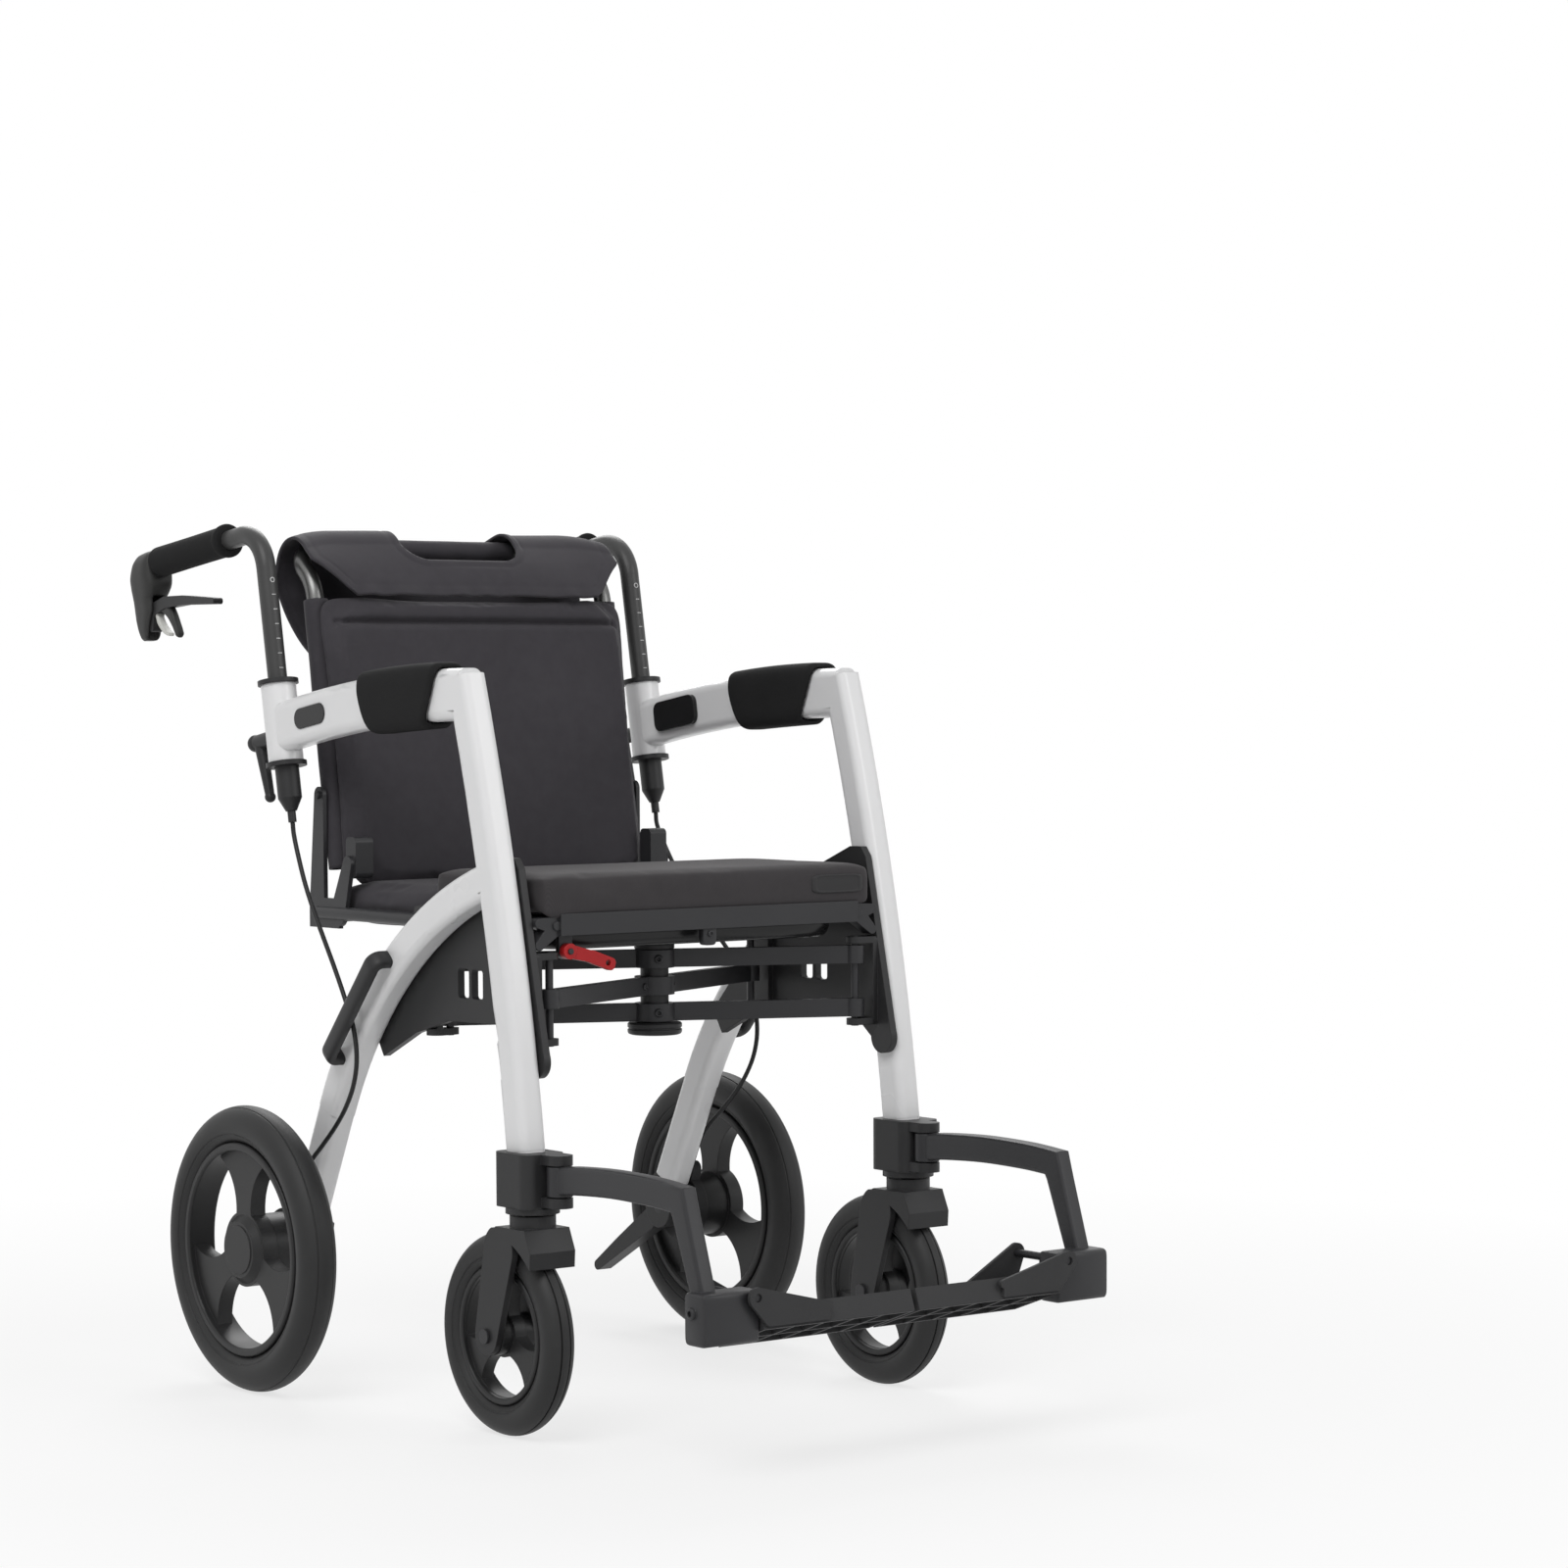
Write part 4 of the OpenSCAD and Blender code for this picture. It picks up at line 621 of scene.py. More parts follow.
# a boxy pad, swelled; its lower front is let down over the rail, and a seam is drawn in round its sides
def addSeatCushion():
    c = seatPad
    low, high = (np.array(v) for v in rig.box("seat_cushion"))
    size = (high - low) * 1000 - 2 * c["inset"] + [0, 2 * c["wider"], 0]
    mid = (high + low) / 2
    pts = padPoints(*size, *c["box"]) / 1000 + mid
    obj = addMesh("seatCushion", pts, gridFaces(*pts.shape[:2], True), "seatCloth")
    swell(obj, c["pressure"], c["cap"])
    co = coordsOf(obj)
    co[:, 2] = np.maximum(co[:, 2], low[2] + c["base"])
    ahead = np.clip((co[:, 0] - high[0] + c["skirtFrom"]) / c["skirtOver"], 0, 1)
    co[:, 2] -= c["skirt"] * eased(ahead) * np.clip((high[2] - co[:, 2]) / (high[2] - low[2]), 0, 1)
    seam = high[2] - c["seamDrop"] / 1000
    near = np.exp(-((co[:, 2] - seam) / (c["seamWide"] / 1000)) ** 2) * c["seamDepth"] / 1000
    out = (co - mid) * [1, 1, 0]
    side = np.maximum(np.abs(out[:, 0]) / (size[0] / 2000), np.abs(out[:, 1]) / (size[1] / 2000)) > c["sideShare"]
    co -= out / np.maximum(np.linalg.norm(out, axis=1)[:, None], 1e-6) * (near * side)[:, None]
    setCoords(obj, co)
    smoothPad(obj)
    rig.ride(obj, "frame")
    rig.replaces(obj, "seat_cushion")
    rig.padded(obj, 0.8)
    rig.slot(obj, "black_fabric")
    return obj


patch = {
    "middle": (163.0, 539.0), "size": (68.0, 19.5), "squareness": 0.34, "rings": 22, "points": 96, "depth": 14,
    "soften": 4, "rise": 0.9, "rim": 0.9, "rimAt": 0.88, "rimWide": 0.045, "sink": 3,
}


# a bare rounded patch: rings of an oblong from its middle out, lifted off the cushion's front by a weighted mean of
# the cushion's nearest points, with a raised rim and its edge sunk in the cloth
def addSeatPatch(cushion):
    c = patch
    co = coordsOf(cushion) * 1000
    front = co[(co[:, 0] > co[:, 0].max() - c["depth"]) & (np.abs(co[:, 1] - c["middle"][0]) < c["size"][0])]
    t, turn = ringGrid(np.concatenate([np.linspace(0.04, 0.94, c["rings"]), [1, 1.01]]), c["points"])
    y = c["middle"][0] + t * boxy(np.cos(turn), c["squareness"]) * c["size"][0] / 2
    z = c["middle"][1] + t * boxy(np.sin(turn), c["squareness"]) * c["size"][1] / 2
    near = (y[..., None] - front[:, 1]) ** 2 + (z[..., None] - front[:, 2]) ** 2
    weight = 1 / (near + c["soften"]) ** 3
    under = (weight * front[:, 0]).sum(-1) / weight.sum(-1)
    lift = c["rise"] + c["rim"] * np.exp(-((t - c["rimAt"]) / c["rimWide"]) ** 2) - c["sink"] * (t > 1)
    pts = np.stack([under + lift, y, z], -1) / 1000
    obj = addMesh("seatPatch", pts, sweptFaces(*t.shape), "patch", "frame")
    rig.slot(obj, "black_plastic")


addSeatPatch(addSeatCushion())
print("seat cushion made")

extensionPad = {"inset": 1.5, "rise": 5.0, "box": (0.12, 0.2, 0.006), "pressure": 2.0, "cap": 0.004}


# a boxy pad, swelled, a little taller than the solid
def addSeatExtension():
    c = extensionPad
    low, high = (np.array(v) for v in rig.box("seat_extension"))
    size = (high - low) * 1000 - 2 * c["inset"] + [0, 0, c["rise"]]
    pts = padPoints(*size, *c["box"]) / 1000 + (high + low) / 2
    pts[..., 2] += c["rise"] / 2000
    obj = addMesh("seatExtension", pts, gridFaces(*pts.shape[:2], True), "cloth")
    swell(obj, c["pressure"], c["cap"])
    smoothPad(obj)
    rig.ride(obj, "back_unit")
    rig.replaces(obj, "seat_extension")
    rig.padded(obj, 0.6)
    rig.slot(obj, "black_fabric")


addSeatExtension()
print("seat extension made")

backrest = {
    "pin": (-16.0, 632.0), "lean": 9.0, "plane": 10.2, "thick": 24.0, "low": -106.0, "high": 215.0, "half": 202.0,
    "cut": (27.0, 34.0), "room": (4, 4, 5), "box": (0.12, 0.3, 0.006), "grid": (40, 200),
    "pressure": 2.5, "cap": 0.005, "voxel": 0.0038, "padHalf": 185.0, "bandAt": 183.0, "mitreTop": (156.0, 213.0),
    "channelDeep": 9.5, "channelWide": 3.0, "seamDeep": 5.5, "seamWide": 2.2, "marginDrop": 7.5, "marginSoft": 6,
    "frontSoft": 1.5, "puckerDeep": 0.9, "puckerClear": 12,
}


# the backrest's own frame: x forward from the tube's middle, z up from the fold pins
def onBack(x, y, z):
    return leaned(backrest["pin"], backrest["lean"], x, y, z)


# points of the frame back in the backrest's own millimetres
def offBack(co):
    a = math.radians(backrest["lean"])
    d = (co - place(backrest["pin"][0], 0, backrest["pin"][1])) * 1000
    return d[:, 0] * math.cos(a) + d[:, 2] * math.sin(a), d[:, 1], d[:, 2] * math.cos(a) - d[:, 0] * math.sin(a)


# a rounded box with its lower corners slid onto a slant; after the swelling its front is drawn in along the
# cross channel, the side seams and the mitred ends of the top band, and set back outside them
def addBackPanel():
    b = backrest
    size = np.array([2 * b["half"], b["high"] - b["low"], b["thick"]]) - b["room"]
    pts = padPoints(*size, *b["box"], *b["grid"])
    y, z, x = pts[..., 0], pts[..., 1] + (b["high"] + b["low"]) / 2, pts[..., 2] + b["plane"] + b["thick"] / 2
    w, h = b["cut"]
    n = np.array([h, w]) / math.hypot(h, w)
    over = np.maximum(0, (np.abs(y) - b["half"] + w) * n[0] + (b["low"] - z) * n[1])
    y, z = y - np.sign(y) * over * n[0], z + over * n[1]
    obj = addMesh("backPanel", onBack(x, y, z), gridFaces(*pts.shape[:2], True), "cloth")
    swell(obj, b["pressure"], b["cap"], b["voxel"])
    lx, ly, lz = offBack(coordsOf(obj))
    top, side = b["mitreTop"], np.abs(ly) - b["padHalf"]
    m = np.array([top[1] - b["bandAt"], b["padHalf"] - top[0]])
    m /= np.linalg.norm(m)
    past = np.where(lz > b["bandAt"], side * m[0] + (lz - b["bandAt"]) * m[1], side)
    drawn = b["seamDeep"] * np.exp(-(past / b["seamWide"]) ** 2)
    drawn += b["marginDrop"] * eased(np.clip(past / b["marginSoft"], 0, 1))
    drawn += b["channelDeep"] * np.exp(-((lz - b["bandAt"]) / b["channelWide"]) ** 2) * (side < 0)
    pucker = np.sin(ly / 31 + 2 * np.sin(lz / 70)) * np.sin(lz / 44)
    drawn += b["puckerDeep"] * pucker * (past < -b["puckerClear"])
    front = 1 - fallAt(lx, b["plane"] + b["thick"] / 2, b["frontSoft"])
    lx = np.maximum(lx - front * drawn, b["plane"] + 0.2)
    setCoords(obj, onBack(lx, ly, lz))
    smoothPad(obj)
    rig.ride(obj, "back")
    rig.replaces(obj, "backrest_panel")
    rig.padded(obj, 0.7)
    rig.slot(obj, "black_fabric")


addBackPanel()
print("back panel made")

pockets = {
    "at": 190.5, "radius": 13.2, "ripple": 0.25, "low": -80.0, "high": 212.0, "wall": 2.0, "rows": 70, "points": 60,
}


# a fabric tube round each upright: a circle that ripples slowly as it climbs
def addPockets():
    p = pockets
    z, turn = ringGrid(np.linspace(p["low"], p["high"], p["rows"]), p["points"])
    r = p["radius"] + p["ripple"] * np.sin(3 * turn + z / 19) * np.sin(z / 31)
    faces = gridFaces(*z.shape, True)
    for name, sign in bothHands:
        obj = addMesh(name + "Pocket", onBack(r * np.cos(turn), sign * (p["at"] + r * np.sin(turn)), z),
                      faces if sign > 0 else turned(faces), "cloth", "back")
        addWall(obj, p["wall"])
        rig.slot(obj, "black_fabric")
        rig.sheet(obj, (2 * np.pi * p["radius"] / 1000, (p["high"] - p["low"]) / 1000), "stretched",
                 rests_on=["backrest_tube"])


addPockets()
print("tube pockets made")

flap = {
    "loop": (-30.0, 250.0), "wrap": 43.0, "narrow": 0.84, "front": (36.0, 212.0), "behind": (-18.0, 150.0),
    "bow": (4.0, 8.0), "leafPoints": 60, "loopPoints": 80, "half": 202.0, "corner": (150.0, 168.0), "tailHalf": 184.0,
    "droopFrom": 150.0, "droop": (9.0, 9.0), "droopAbove": 205, "droopOver": 60, "thick": 3.0,
    "scoopHalf": 76.0, "scoopLow": 254.0, "scoopBack": -55.0, "scoopRound": 28.0, "slideReach": 8,
    "rows": 110, "columns": 150, "binding": 7.0, "bindingRise": 0.9, "hem": 12.0, "stitch": 0.7,
    "pucker": 1.5, "billow": 1.3,
}


# the flap's line: a bowed leaf up to the crossing bar, an oval loop over it and a bowed leaf down behind, evenly spaced
def flapLine(count):
    f = flap
    bar = np.array(f["loop"])
    onBar = lambda a: bar + f["wrap"] * np.stack([f["narrow"] * np.cos(a), np.sin(a)], -1)

    # the angle at which a straight line from a point touches the loop
    def touch(p, way):
        d = (np.array(p) - bar) / [f["narrow"], 1]
        return math.atan2(d[1], d[0]) + way * math.acos(f["wrap"] / np.hypot(*d))

    # a straight line with a parabola added across it
    def bowed(p, q, bow):
        p, q, t = np.array(p), np.array(q), np.linspace(0, 1, f["leafPoints"])[:, None]
        d = (q - p) / np.linalg.norm(q - p)
        return p + (q - p) * t + 4 * t * (1 - t) * bow * np.array([d[1], -d[0]])

    first, last = touch(f["front"], 1), touch(f["behind"], -1) + 2 * math.pi
    loop = onBar(np.linspace(first, last, f["loopPoints"]))
    line = np.vstack([bowed(f["front"], loop[0], f["bow"][0])[:-1], loop,
                      bowed(loop[-1], f["behind"], f["bow"][1])[1:]])
    run = np.concatenate([[0], np.cumsum(np.linalg.norm(np.diff(line, axis=0), axis=1))])
    s = np.linspace(0, run[-1], count)
    return s, np.interp(s, run, line[:, 0]), np.interp(s, run, line[:, 1])


# a sheet carried along that line, tapered to both ends; points just inside the scoop slide out to its rounded edge,
# and the binding, the hem's stitching and small puckers move points along the line's normal
def addFlap():
    f = flap
    line, px, pz = flapLine(f["rows"] * 4)
    slope = np.stack([np.gradient(px, line), np.gradient(pz, line)])
    slope /= np.linalg.norm(slope, axis=0)
    peak, back = pz.argmax(), px.argmin()
    s, t = np.meshgrid(np.linspace(0, line[-1], f["rows"]), np.linspace(-1, 1, f["columns"]), indexing="ij")
    zs = np.interp(s, line, pz)
    front = np.interp(zs, [f["front"][1] - 6, f["front"][1] + 8, f["loop"][1] + 12], [*f["corner"], f["half"]])
    tail = np.interp(zs, [f["behind"][1] - 5, f["loop"][1] - 15], [f["tailHalf"], f["half"]])
    wide = np.where(s < line[peak], front, tail)
    y = t * wide
    low = np.interp(f["scoopLow"], pz[:peak], line[:peak])
    high = np.interp(-f["scoopBack"], -px[:back], line[:back])
    r, mid = f["scoopRound"], (low + high) / 2
    q = np.stack([np.abs(y) - f["scoopHalf"] + r, np.abs(s - mid) - (high - low) / 2 + r], -1)
    out = np.linalg.norm(np.maximum(q, 0), axis=-1) + np.minimum(q.max(-1), 0) - r
    straight = np.stack([q[..., 0] >= q[..., 1], q[..., 0] < q[..., 1]], -1)
    lead = np.where((q > 0).all(-1)[..., None], q / np.maximum(np.linalg.norm(q, axis=-1)[..., None], 1e-9), straight)
    slide = np.where((out < 0) & (out > -f["slideReach"]), out, 0)
    y, s = y - slide * lead[..., 0] * np.sign(y), s - slide * lead[..., 1] * np.sign(s - mid)
    edge = np.minimum(np.minimum(wide - np.abs(y), line[-1] - s), np.maximum(s, 0))
    clear = np.maximum(out, 0)
    lift = f["bindingRise"] * fallAt(clear, f["binding"], 0.5) - f["stitch"] * np.exp(-((edge - f["hem"]) / 1.4) ** 2)
    lift -= f["stitch"] * np.exp(-((clear - f["binding"] - 1.5) / 1.2) ** 2)
    lift += f["pucker"] * np.exp(-s / 10) * np.sin(y / 8 + 1.7 * np.sin(y / 23))
    lift += f["billow"] * np.sin(y / 41 + s / 33) * np.sin(s / line[-1] * 2 * np.pi) * (clear > f["slideReach"])
    at = lambda v: np.interp(s, line, v)
    x, z = at(px) + lift * at(slope[1]), at(pz) - lift * at(slope[0])
    hang = np.clip((np.abs(y) - f["droopFrom"]) / (f["half"] - f["droopFrom"]), 0, 1) ** 2
    hang = hang * np.clip((z - f["droopAbove"]) / f["droopOver"], 0, 1)
    x, z = x + f["droop"][0] * hang, z - f["droop"][1] * hang
    faces = gridFaces(*y.shape)
    faces = faces[(out.ravel()[faces] >= 0).any(1)]
    used, faces = np.unique(faces, return_inverse=True)
    faces = faces.reshape(-1, 4)
    fy, fs = y.ravel()[used][faces], s.ravel()[used][faces]
    area = 0.5 * np.abs((fy * np.roll(fs, -1, 1) - fs * np.roll(fy, -1, 1)).sum(1)).sum() / 1e6
    obj = addMesh("backFlap", onBack(x, y, z).reshape(-1, 3)[used], faces, "cloth", "back")
    addWall(obj, f["thick"], 0)
    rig.replaces(obj, "backrest_flap")
    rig.slot(obj, "black_fabric")
    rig.sheet(obj, (2 * f["half"] / 1000, line[-1] / 1000), "hung", rests_on=["backrest_tube"], area=area)


addFlap()

lining = {
    "bar": (-40.096, 276.966), "half": 96.0, "radius": 10.3, "ripple": 0.06, "wall": 0.6, "rows": 60, "points": 48,
}


# cloth wound once round the crossing bar behind the scoop: a circle with a slight ripple
def addLining():
    c = lining
    y, turn = ringGrid(np.linspace(-c["half"], c["half"], c["rows"]), c["points"])
    r = c["radius"] + c["ripple"] * np.sin(5 * turn + y / 9)
    obj = addMesh("barLining", onBack(c["bar"][0] + r * np.cos(turn), y, c["bar"][1] + r * np.sin(turn)),
                  gridFaces(*y.shape, True), "cloth", "back")
    addWall(obj, c["wall"])
    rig.slot(obj, "black_fabric")
    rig.sheet(obj, (2 * c["half"] / 1000, 2 * np.pi * c["radius"] / 1000), "stretched", rests_on=["backrest_tube"])


addLining()
print("flap made")

armPads = {
    "start": 37.0, "length": 143.0, "beamTall": 53.0, "beamThick": 30.0, "wall": 3.9, "bulge": 0.4, "skin": 2.8,
    "squareness": 0.42, "armStart": 325.38, "armHeight": 738.0, "armRadius": 1900.0, "round": 6.0,
    "frontSlant": 23.0, "rearSlant": 24.0, "rows": 60, "points": 120,
}


# a foam sleeve: a rounded-rectangle ring carried along the armrest's arc, shorter below than above, its ends rolled in
def addArmPads():
    a = armPads
    t, turn = ringGrid(np.linspace(0, 1, a["rows"]), a["points"])
    roll = rolled(np.minimum(t, 1 - t) * a["length"], a["round"])
    grow = a["wall"] * (0.3 + 0.7 * roll) + a["bulge"] * np.sin(np.pi * t)
    tall = (a["beamTall"] / 2 + grow) * boxy(np.sin(turn), a["squareness"])
    wide = (a["beamThick"] / 2 + grow) * boxy(np.cos(turn), a["squareness"])
    down = 0.5 - tall / a["beamTall"]
    first = a["start"] + a["frontSlant"] * np.clip(down, 0, 1) ** 1.2
    last = a["start"] + a["length"] - a["rearSlant"] * np.clip(down - 0.25, 0, 1) ** 1.6
    ang = (first + (last - first) * t) / a["armRadius"]
    radius = a["armRadius"] + tall
    x = a["armStart"] - radius * np.sin(ang)
    z = a["armHeight"] - a["armRadius"] + radius * np.cos(ang)
    faces = gridFaces(*t.shape, True)
    for name, sign in bothHands:
        obj = addMesh(name + "ArmSleeve", place(x, sign * (sideY + wide), z),
                      faces if sign > 0 else turned(faces), "foam", "frame")
        addWall(obj, a["skin"])
        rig.replaces(obj, name + "_arm_pad")
        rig.padded(obj, 0.5)
        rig.slot(obj, "black_foam")


addArmPads()
print("arm pads made")

handles = {
    "sleeve": (-37.39, 709.05), "lean": 10.0, "stemTop": 169.0, "bendRadius": 44.0, "bend": 87.0, "stemRadius": 10.5,
    "gripStart": 28.2, "gripLength": 155.5, "gripRadius": 17.0, "gripSides": 72, "waist": 0.3, "edge": 3.5,
    "flange": 1.5, "flangeTo": 9, "flangeSoft": 0.9,
    "markTop": 861.0, "markStep": 15.7, "marks": 6, "markHalf": 2.3, "markTall": 0.9, "markColumns": 9,
    "ringRadius": 2.4, "ringHalf": 0.45, "ringPoints": 40, "markOff": 0.12, "markThick": 0.3,
}


# the stem's own frame: u up the stem from the sleeve's middle, v forward across it
def onStem(v, y, u):
    return leaned(handles["sleeve"], handles["lean"], v, y, u)


# the grip's own frame: g back along the grip from the end of the bend, h up across it
def onGrip(h, y, g):
    c, b = handles, math.radians(handles["bend"])
    v = -c["bendRadius"] * (1 - math.cos(b)) + h * math.cos(b) - g * math.sin(b)
    return onStem(v, y, c["stemTop"] + c["bendRadius"] * math.sin(b) + h * math.sin(b) + g * math.cos(b))


# a turned foam grip: radius against length, with a flange, a slight waist and rolled ends, closed down to the stem
def addGrips():
    c = handles
    long = c["gripLength"]
    g = np.concatenate([[0], 8 * (1 - np.cos(np.linspace(0, np.pi / 2, 10))), np.linspace(8.5, 150, 70),
                        long - 5 * (1 - np.sin(np.linspace(0, np.pi / 2, 8))), [long]])
    radius = c["gripRadius"] - c["waist"] * np.sin(np.pi * np.clip(g / long, 0, 1))
    radius += c["flange"] * fallAt(g, c["flangeTo"], c["flangeSoft"])
    radius -= c["edge"] * (2 - rolled(g, c["edge"]) - rolled(long - g, c["edge"]))
    radius[0] = radius[-1] = c["stemRadius"] + 0.3
    turn = around(c["gripSides"])
    h, y = radius[:, None] * np.cos(turn), radius[:, None] * np.sin(turn)
    faces = sweptFaces(len(g), len(turn))
    for name, sign in bothHands:
        obj = addMesh(name + "SoftGrip", onGrip(h, sign * (sideY + y), g[:, None] + c["gripStart"]),
                      faces if sign < 0 else turned(faces), "foam", name + "_handle")
        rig.replaces(obj, name + "_grip")
        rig.padded(obj, 0.8)
        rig.slot(obj, "black_foam")


# height marks on the front of each stem: a small ring above a row of short strokes, all thin skins on its round face
def addMarks():
    c = handles
    a = math.radians(c["lean"])
    high = (c["markTop"] - c["markStep"] * np.arange(c["marks"] + 1) - c["sleeve"][1]) / math.cos(a)
    r = c["stemRadius"] + c["markOff"]
    wide, tall = np.meshgrid(np.linspace(-1, 1, c["markColumns"]), [-1, 1], indexing="ij")
    ang = wide * c["markHalf"] / r
    v = np.broadcast_to(r * np.cos(ang), (c["marks"],) + ang.shape)
    y = np.broadcast_to(r * np.sin(ang), v.shape)
    u = high[1:, None, None] + tall * c["markTall"] / 2
    faces = (gridFaces(*ang.shape)[None] + ang.size * np.arange(c["marks"])[:, None, None]).reshape(-1, 4)
    turn = around(c["ringPoints"])
    size = np.array([c["ringRadius"] - c["ringHalf"], c["ringRadius"] + c["ringHalf"]])[:, None]
    ringAng = size * np.cos(turn) / r
    rv, ry, ru = r * np.cos(ringAng), r * np.sin(ringAng), high[0] + size * np.sin(turn)
    faces = np.vstack([faces, gridFaces(2, c["ringPoints"], True) + ang.size * c["marks"]])
    v, y, u = (np.concatenate([m.ravel(), n.ravel()]) for m, n in ((v, rv), (y, ry), (u, ru)))
    for name, sign in bothHands:
        obj = addMesh(name + "HeightMarks", onStem(v, sign * sideY + y, u), faces, "mark", name + "_handle")
        addWall(obj, c["markThick"], 0)
        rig.slot(obj, "white_paint")


addGrips()
addMarks()
print("grips and height marks made")

fittings = {
    "boltProfile": [(1, -0.4), (1, 0.3), (0.86, 0.55), (0.5, 0.66), (0.46, 0.62), (0.46, 0.15)],  # in bolt radii
    "bolts": [  # place, direction, radius
        ((324.1, -8.8, 463), (0.908, -0.418, 0), 4.6), ((324.1, -8.8, 407), (0.908, -0.418, 0), 4.6),
        ((322, -25.2, 435), (0.908, 0.418, 0), 4.0), ((297, 29.3, 435), (0.908, 0.418, 0), 4.0),
        ((406.2, -3, 493), (1, 0, 0), 3.6),
    ],
    "boltSides": 24,
    "lug": {"middle": (-3.0, 492.0), "half": (8.5, 11.0), "front": 406.0, "back": 398.0,
            "squareness": 0.45, "sides": 64},
    "tail": {"path": [(-294, 841), (-276, 834), (-262, 818), (-254, 805)], "half": (6.5, 7.0, 4.0, 3.0), "wide": 4.8},
    "shoe": {"path": [(-303, 837), (-297, 823), (-286, 813), (-274, 807)], "half": (2.0, 3.4, 3.0, 1.6), "wide": 4.6},
    "barSquareness": 0.55, "barSides": 40, "barEach": 8,
}


# button-head bolts: one turned profile set on each place along its direction, closed under the head and in the socket
def addBolts():
    prof, bolts = np.array(fittings["boltProfile"]), fittings["bolts"]
    turn = around(fittings["boltSides"])[:, None]
    spot, way = (np.array([b[k] for b in bolts], float)[:, None, None] for k in (0, 1))
    size = np.array([b[2] for b in bolts])[:, None, None, None]
    side = np.cross(way, [0, 0, 1])
    rim = np.cos(turn) * side + np.sin(turn) * np.cross(way, side)
    pts = spot + size * (prof[:, 0, None, None] * rim + prof[:, 1, None, None] * way)
    one = turned(sweptFaces(len(prof), len(turn)))
    step = len(prof) * len(turn)
    faces = [[v + k * step for v in f] for k in range(len(bolts)) for f in one]
    obj = addMesh("frameBolts", place(pts[..., 0], pts[..., 1], pts[..., 2]), faces, "metal", "frame")
    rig.slot(obj, "black_metal")


# the lug under the middle of the front rail: a rounded oblong carried forward, its front edge eased
def addRailLug():
    c = fittings["lug"]
    turn = around(c["sides"])
    x = np.array([c["back"], c["front"] - 1.2, c["front"] - 0.4, c["front"]])[:, None]
    grow = np.array([0, 0, -0.4, -1.2])[:, None]
    y = c["middle"][0] + (c["half"][0] + grow) * boxy(np.cos(turn), c["squareness"])
    z = c["middle"][1] + (c["half"][1] + grow) * boxy(np.sin(turn), c["squareness"])
    obj = addMesh("railLug", place(x, y, z), turned(sweptFaces(*y.shape)), "metal", "frame")
    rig.slot(obj, "black_metal")


# a bar in the chair's side plane: a rounded oblong carried along a smooth path, its thickness changing on the way
def addBar(name, shape, finish, slot):
    path = smoothPath([(x, 0, z) for x, z in shape["path"]], fittings["barEach"])
    thick = np.interp(np.linspace(0, 1, len(path)), np.linspace(0, 1, len(shape["half"])), shape["half"])
    end = np.minimum(np.arange(len(path)), np.arange(len(path))[::-1])
    taper = np.sqrt(np.clip((end + 0.6) / 2.2, 0, 1))
    side = np.cross([0, 1, 0], unit(np.gradient(path, axis=0)))
    turn, square = around(fittings["barSides"])[None, :, None], fittings["barSquareness"]
    pts = path[:, None] + (thick * taper)[:, None, None] * boxy(np.cos(turn), square) * side[:, None]
    pts = pts + (shape["wide"] * taper)[:, None, None] * boxy(np.sin(turn), square) * np.array([0, 1, 0])
    faces = turned(sweptFaces(*pts.shape[:2]))
    for hand, sign in bothHands:
        spots = place(pts[..., 0], sign * sideY + pts[..., 1], pts[..., 2])
        obj = addMesh(hand + name, spots, faces, finish, hand + "_lever")
        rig.slot(obj, slot)


seatPan = {
    "back": 224.0, "front": 386.0, "half": 184.0, "top": 497.5, "low": 482.0, "wall": 2.5, "squareness": 0.22,
    "sideShare": 0.35, "inward": 9, "closing": 0.97, "rib": 1.2, "ribPitch": 14, "rows": 40, "points": 160,
}


# a moulded pan under the seat: rings of a rounded oblong that shrink as they go down to a flat, lightly ribbed floor
def addSeatPan():
    c = seatPan
    t, turn = ringGrid(np.linspace(0, 1, c["rows"]), c["points"])
    fall = np.clip(t / c["sideShare"], 0, 1)
    inward = c["inward"] * fall ** 2
    keep = 1 - np.clip((t - c["sideShare"]) / (1 - c["sideShare"]), 0, 1) * c["closing"]
    long = ((c["front"] - c["back"]) / 2 - inward) * keep
    x = (c["back"] + c["front"]) / 2 + long * boxy(np.cos(turn), c["squareness"])
    y = (c["half"] - inward) * keep * boxy(np.sin(turn), c["squareness"])
    ribs = c["rib"] * np.cos(y / c["ribPitch"]) * np.clip((t - 0.4) / 0.1, 0, 1)
    z = c["top"] - (c["top"] - c["low"]) * np.sin(fall * np.pi / 2) + ribs
    last = (c["rows"] - 1) * c["points"]
    faces = gridFaces(*t.shape, True).tolist() + [[last + k for k in range(c["points"])]]
    obj = addMesh("seatPan", place(x, y, z), turned(faces), "gloss", "frame")
    addWall(obj, c["wall"])
    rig.slot(obj, "black_plastic")


hood = {
    # up across the grip, front and rear along the grip, half width
    "stations": [(14, 190, 210, 6), (11, 184.5, 217, 11.5), (7, 183.9, 220, 15), (0, 183.9, 224, 18),
                 (-13, 183.9, 229.5, 19), (-24, 184, 230.5, 18), (-32, 188, 231.5, 16), (-40, 194.5, 232, 14),
                 (-52, 196, 232, 13), (-62, 202, 231.5, 12), (-72, 207, 229, 11), (-80, 210, 226, 9.5),
                 (-83.5, 212.5, 224, 7)],
    "each": 6, "points": 180, "squareness": 0.5, "sharpFrom": 0.7,
    "slotHalf": 6.6, "slotTop": -36.0, "slotFloor": 215.5, "slotWall": 3,
}


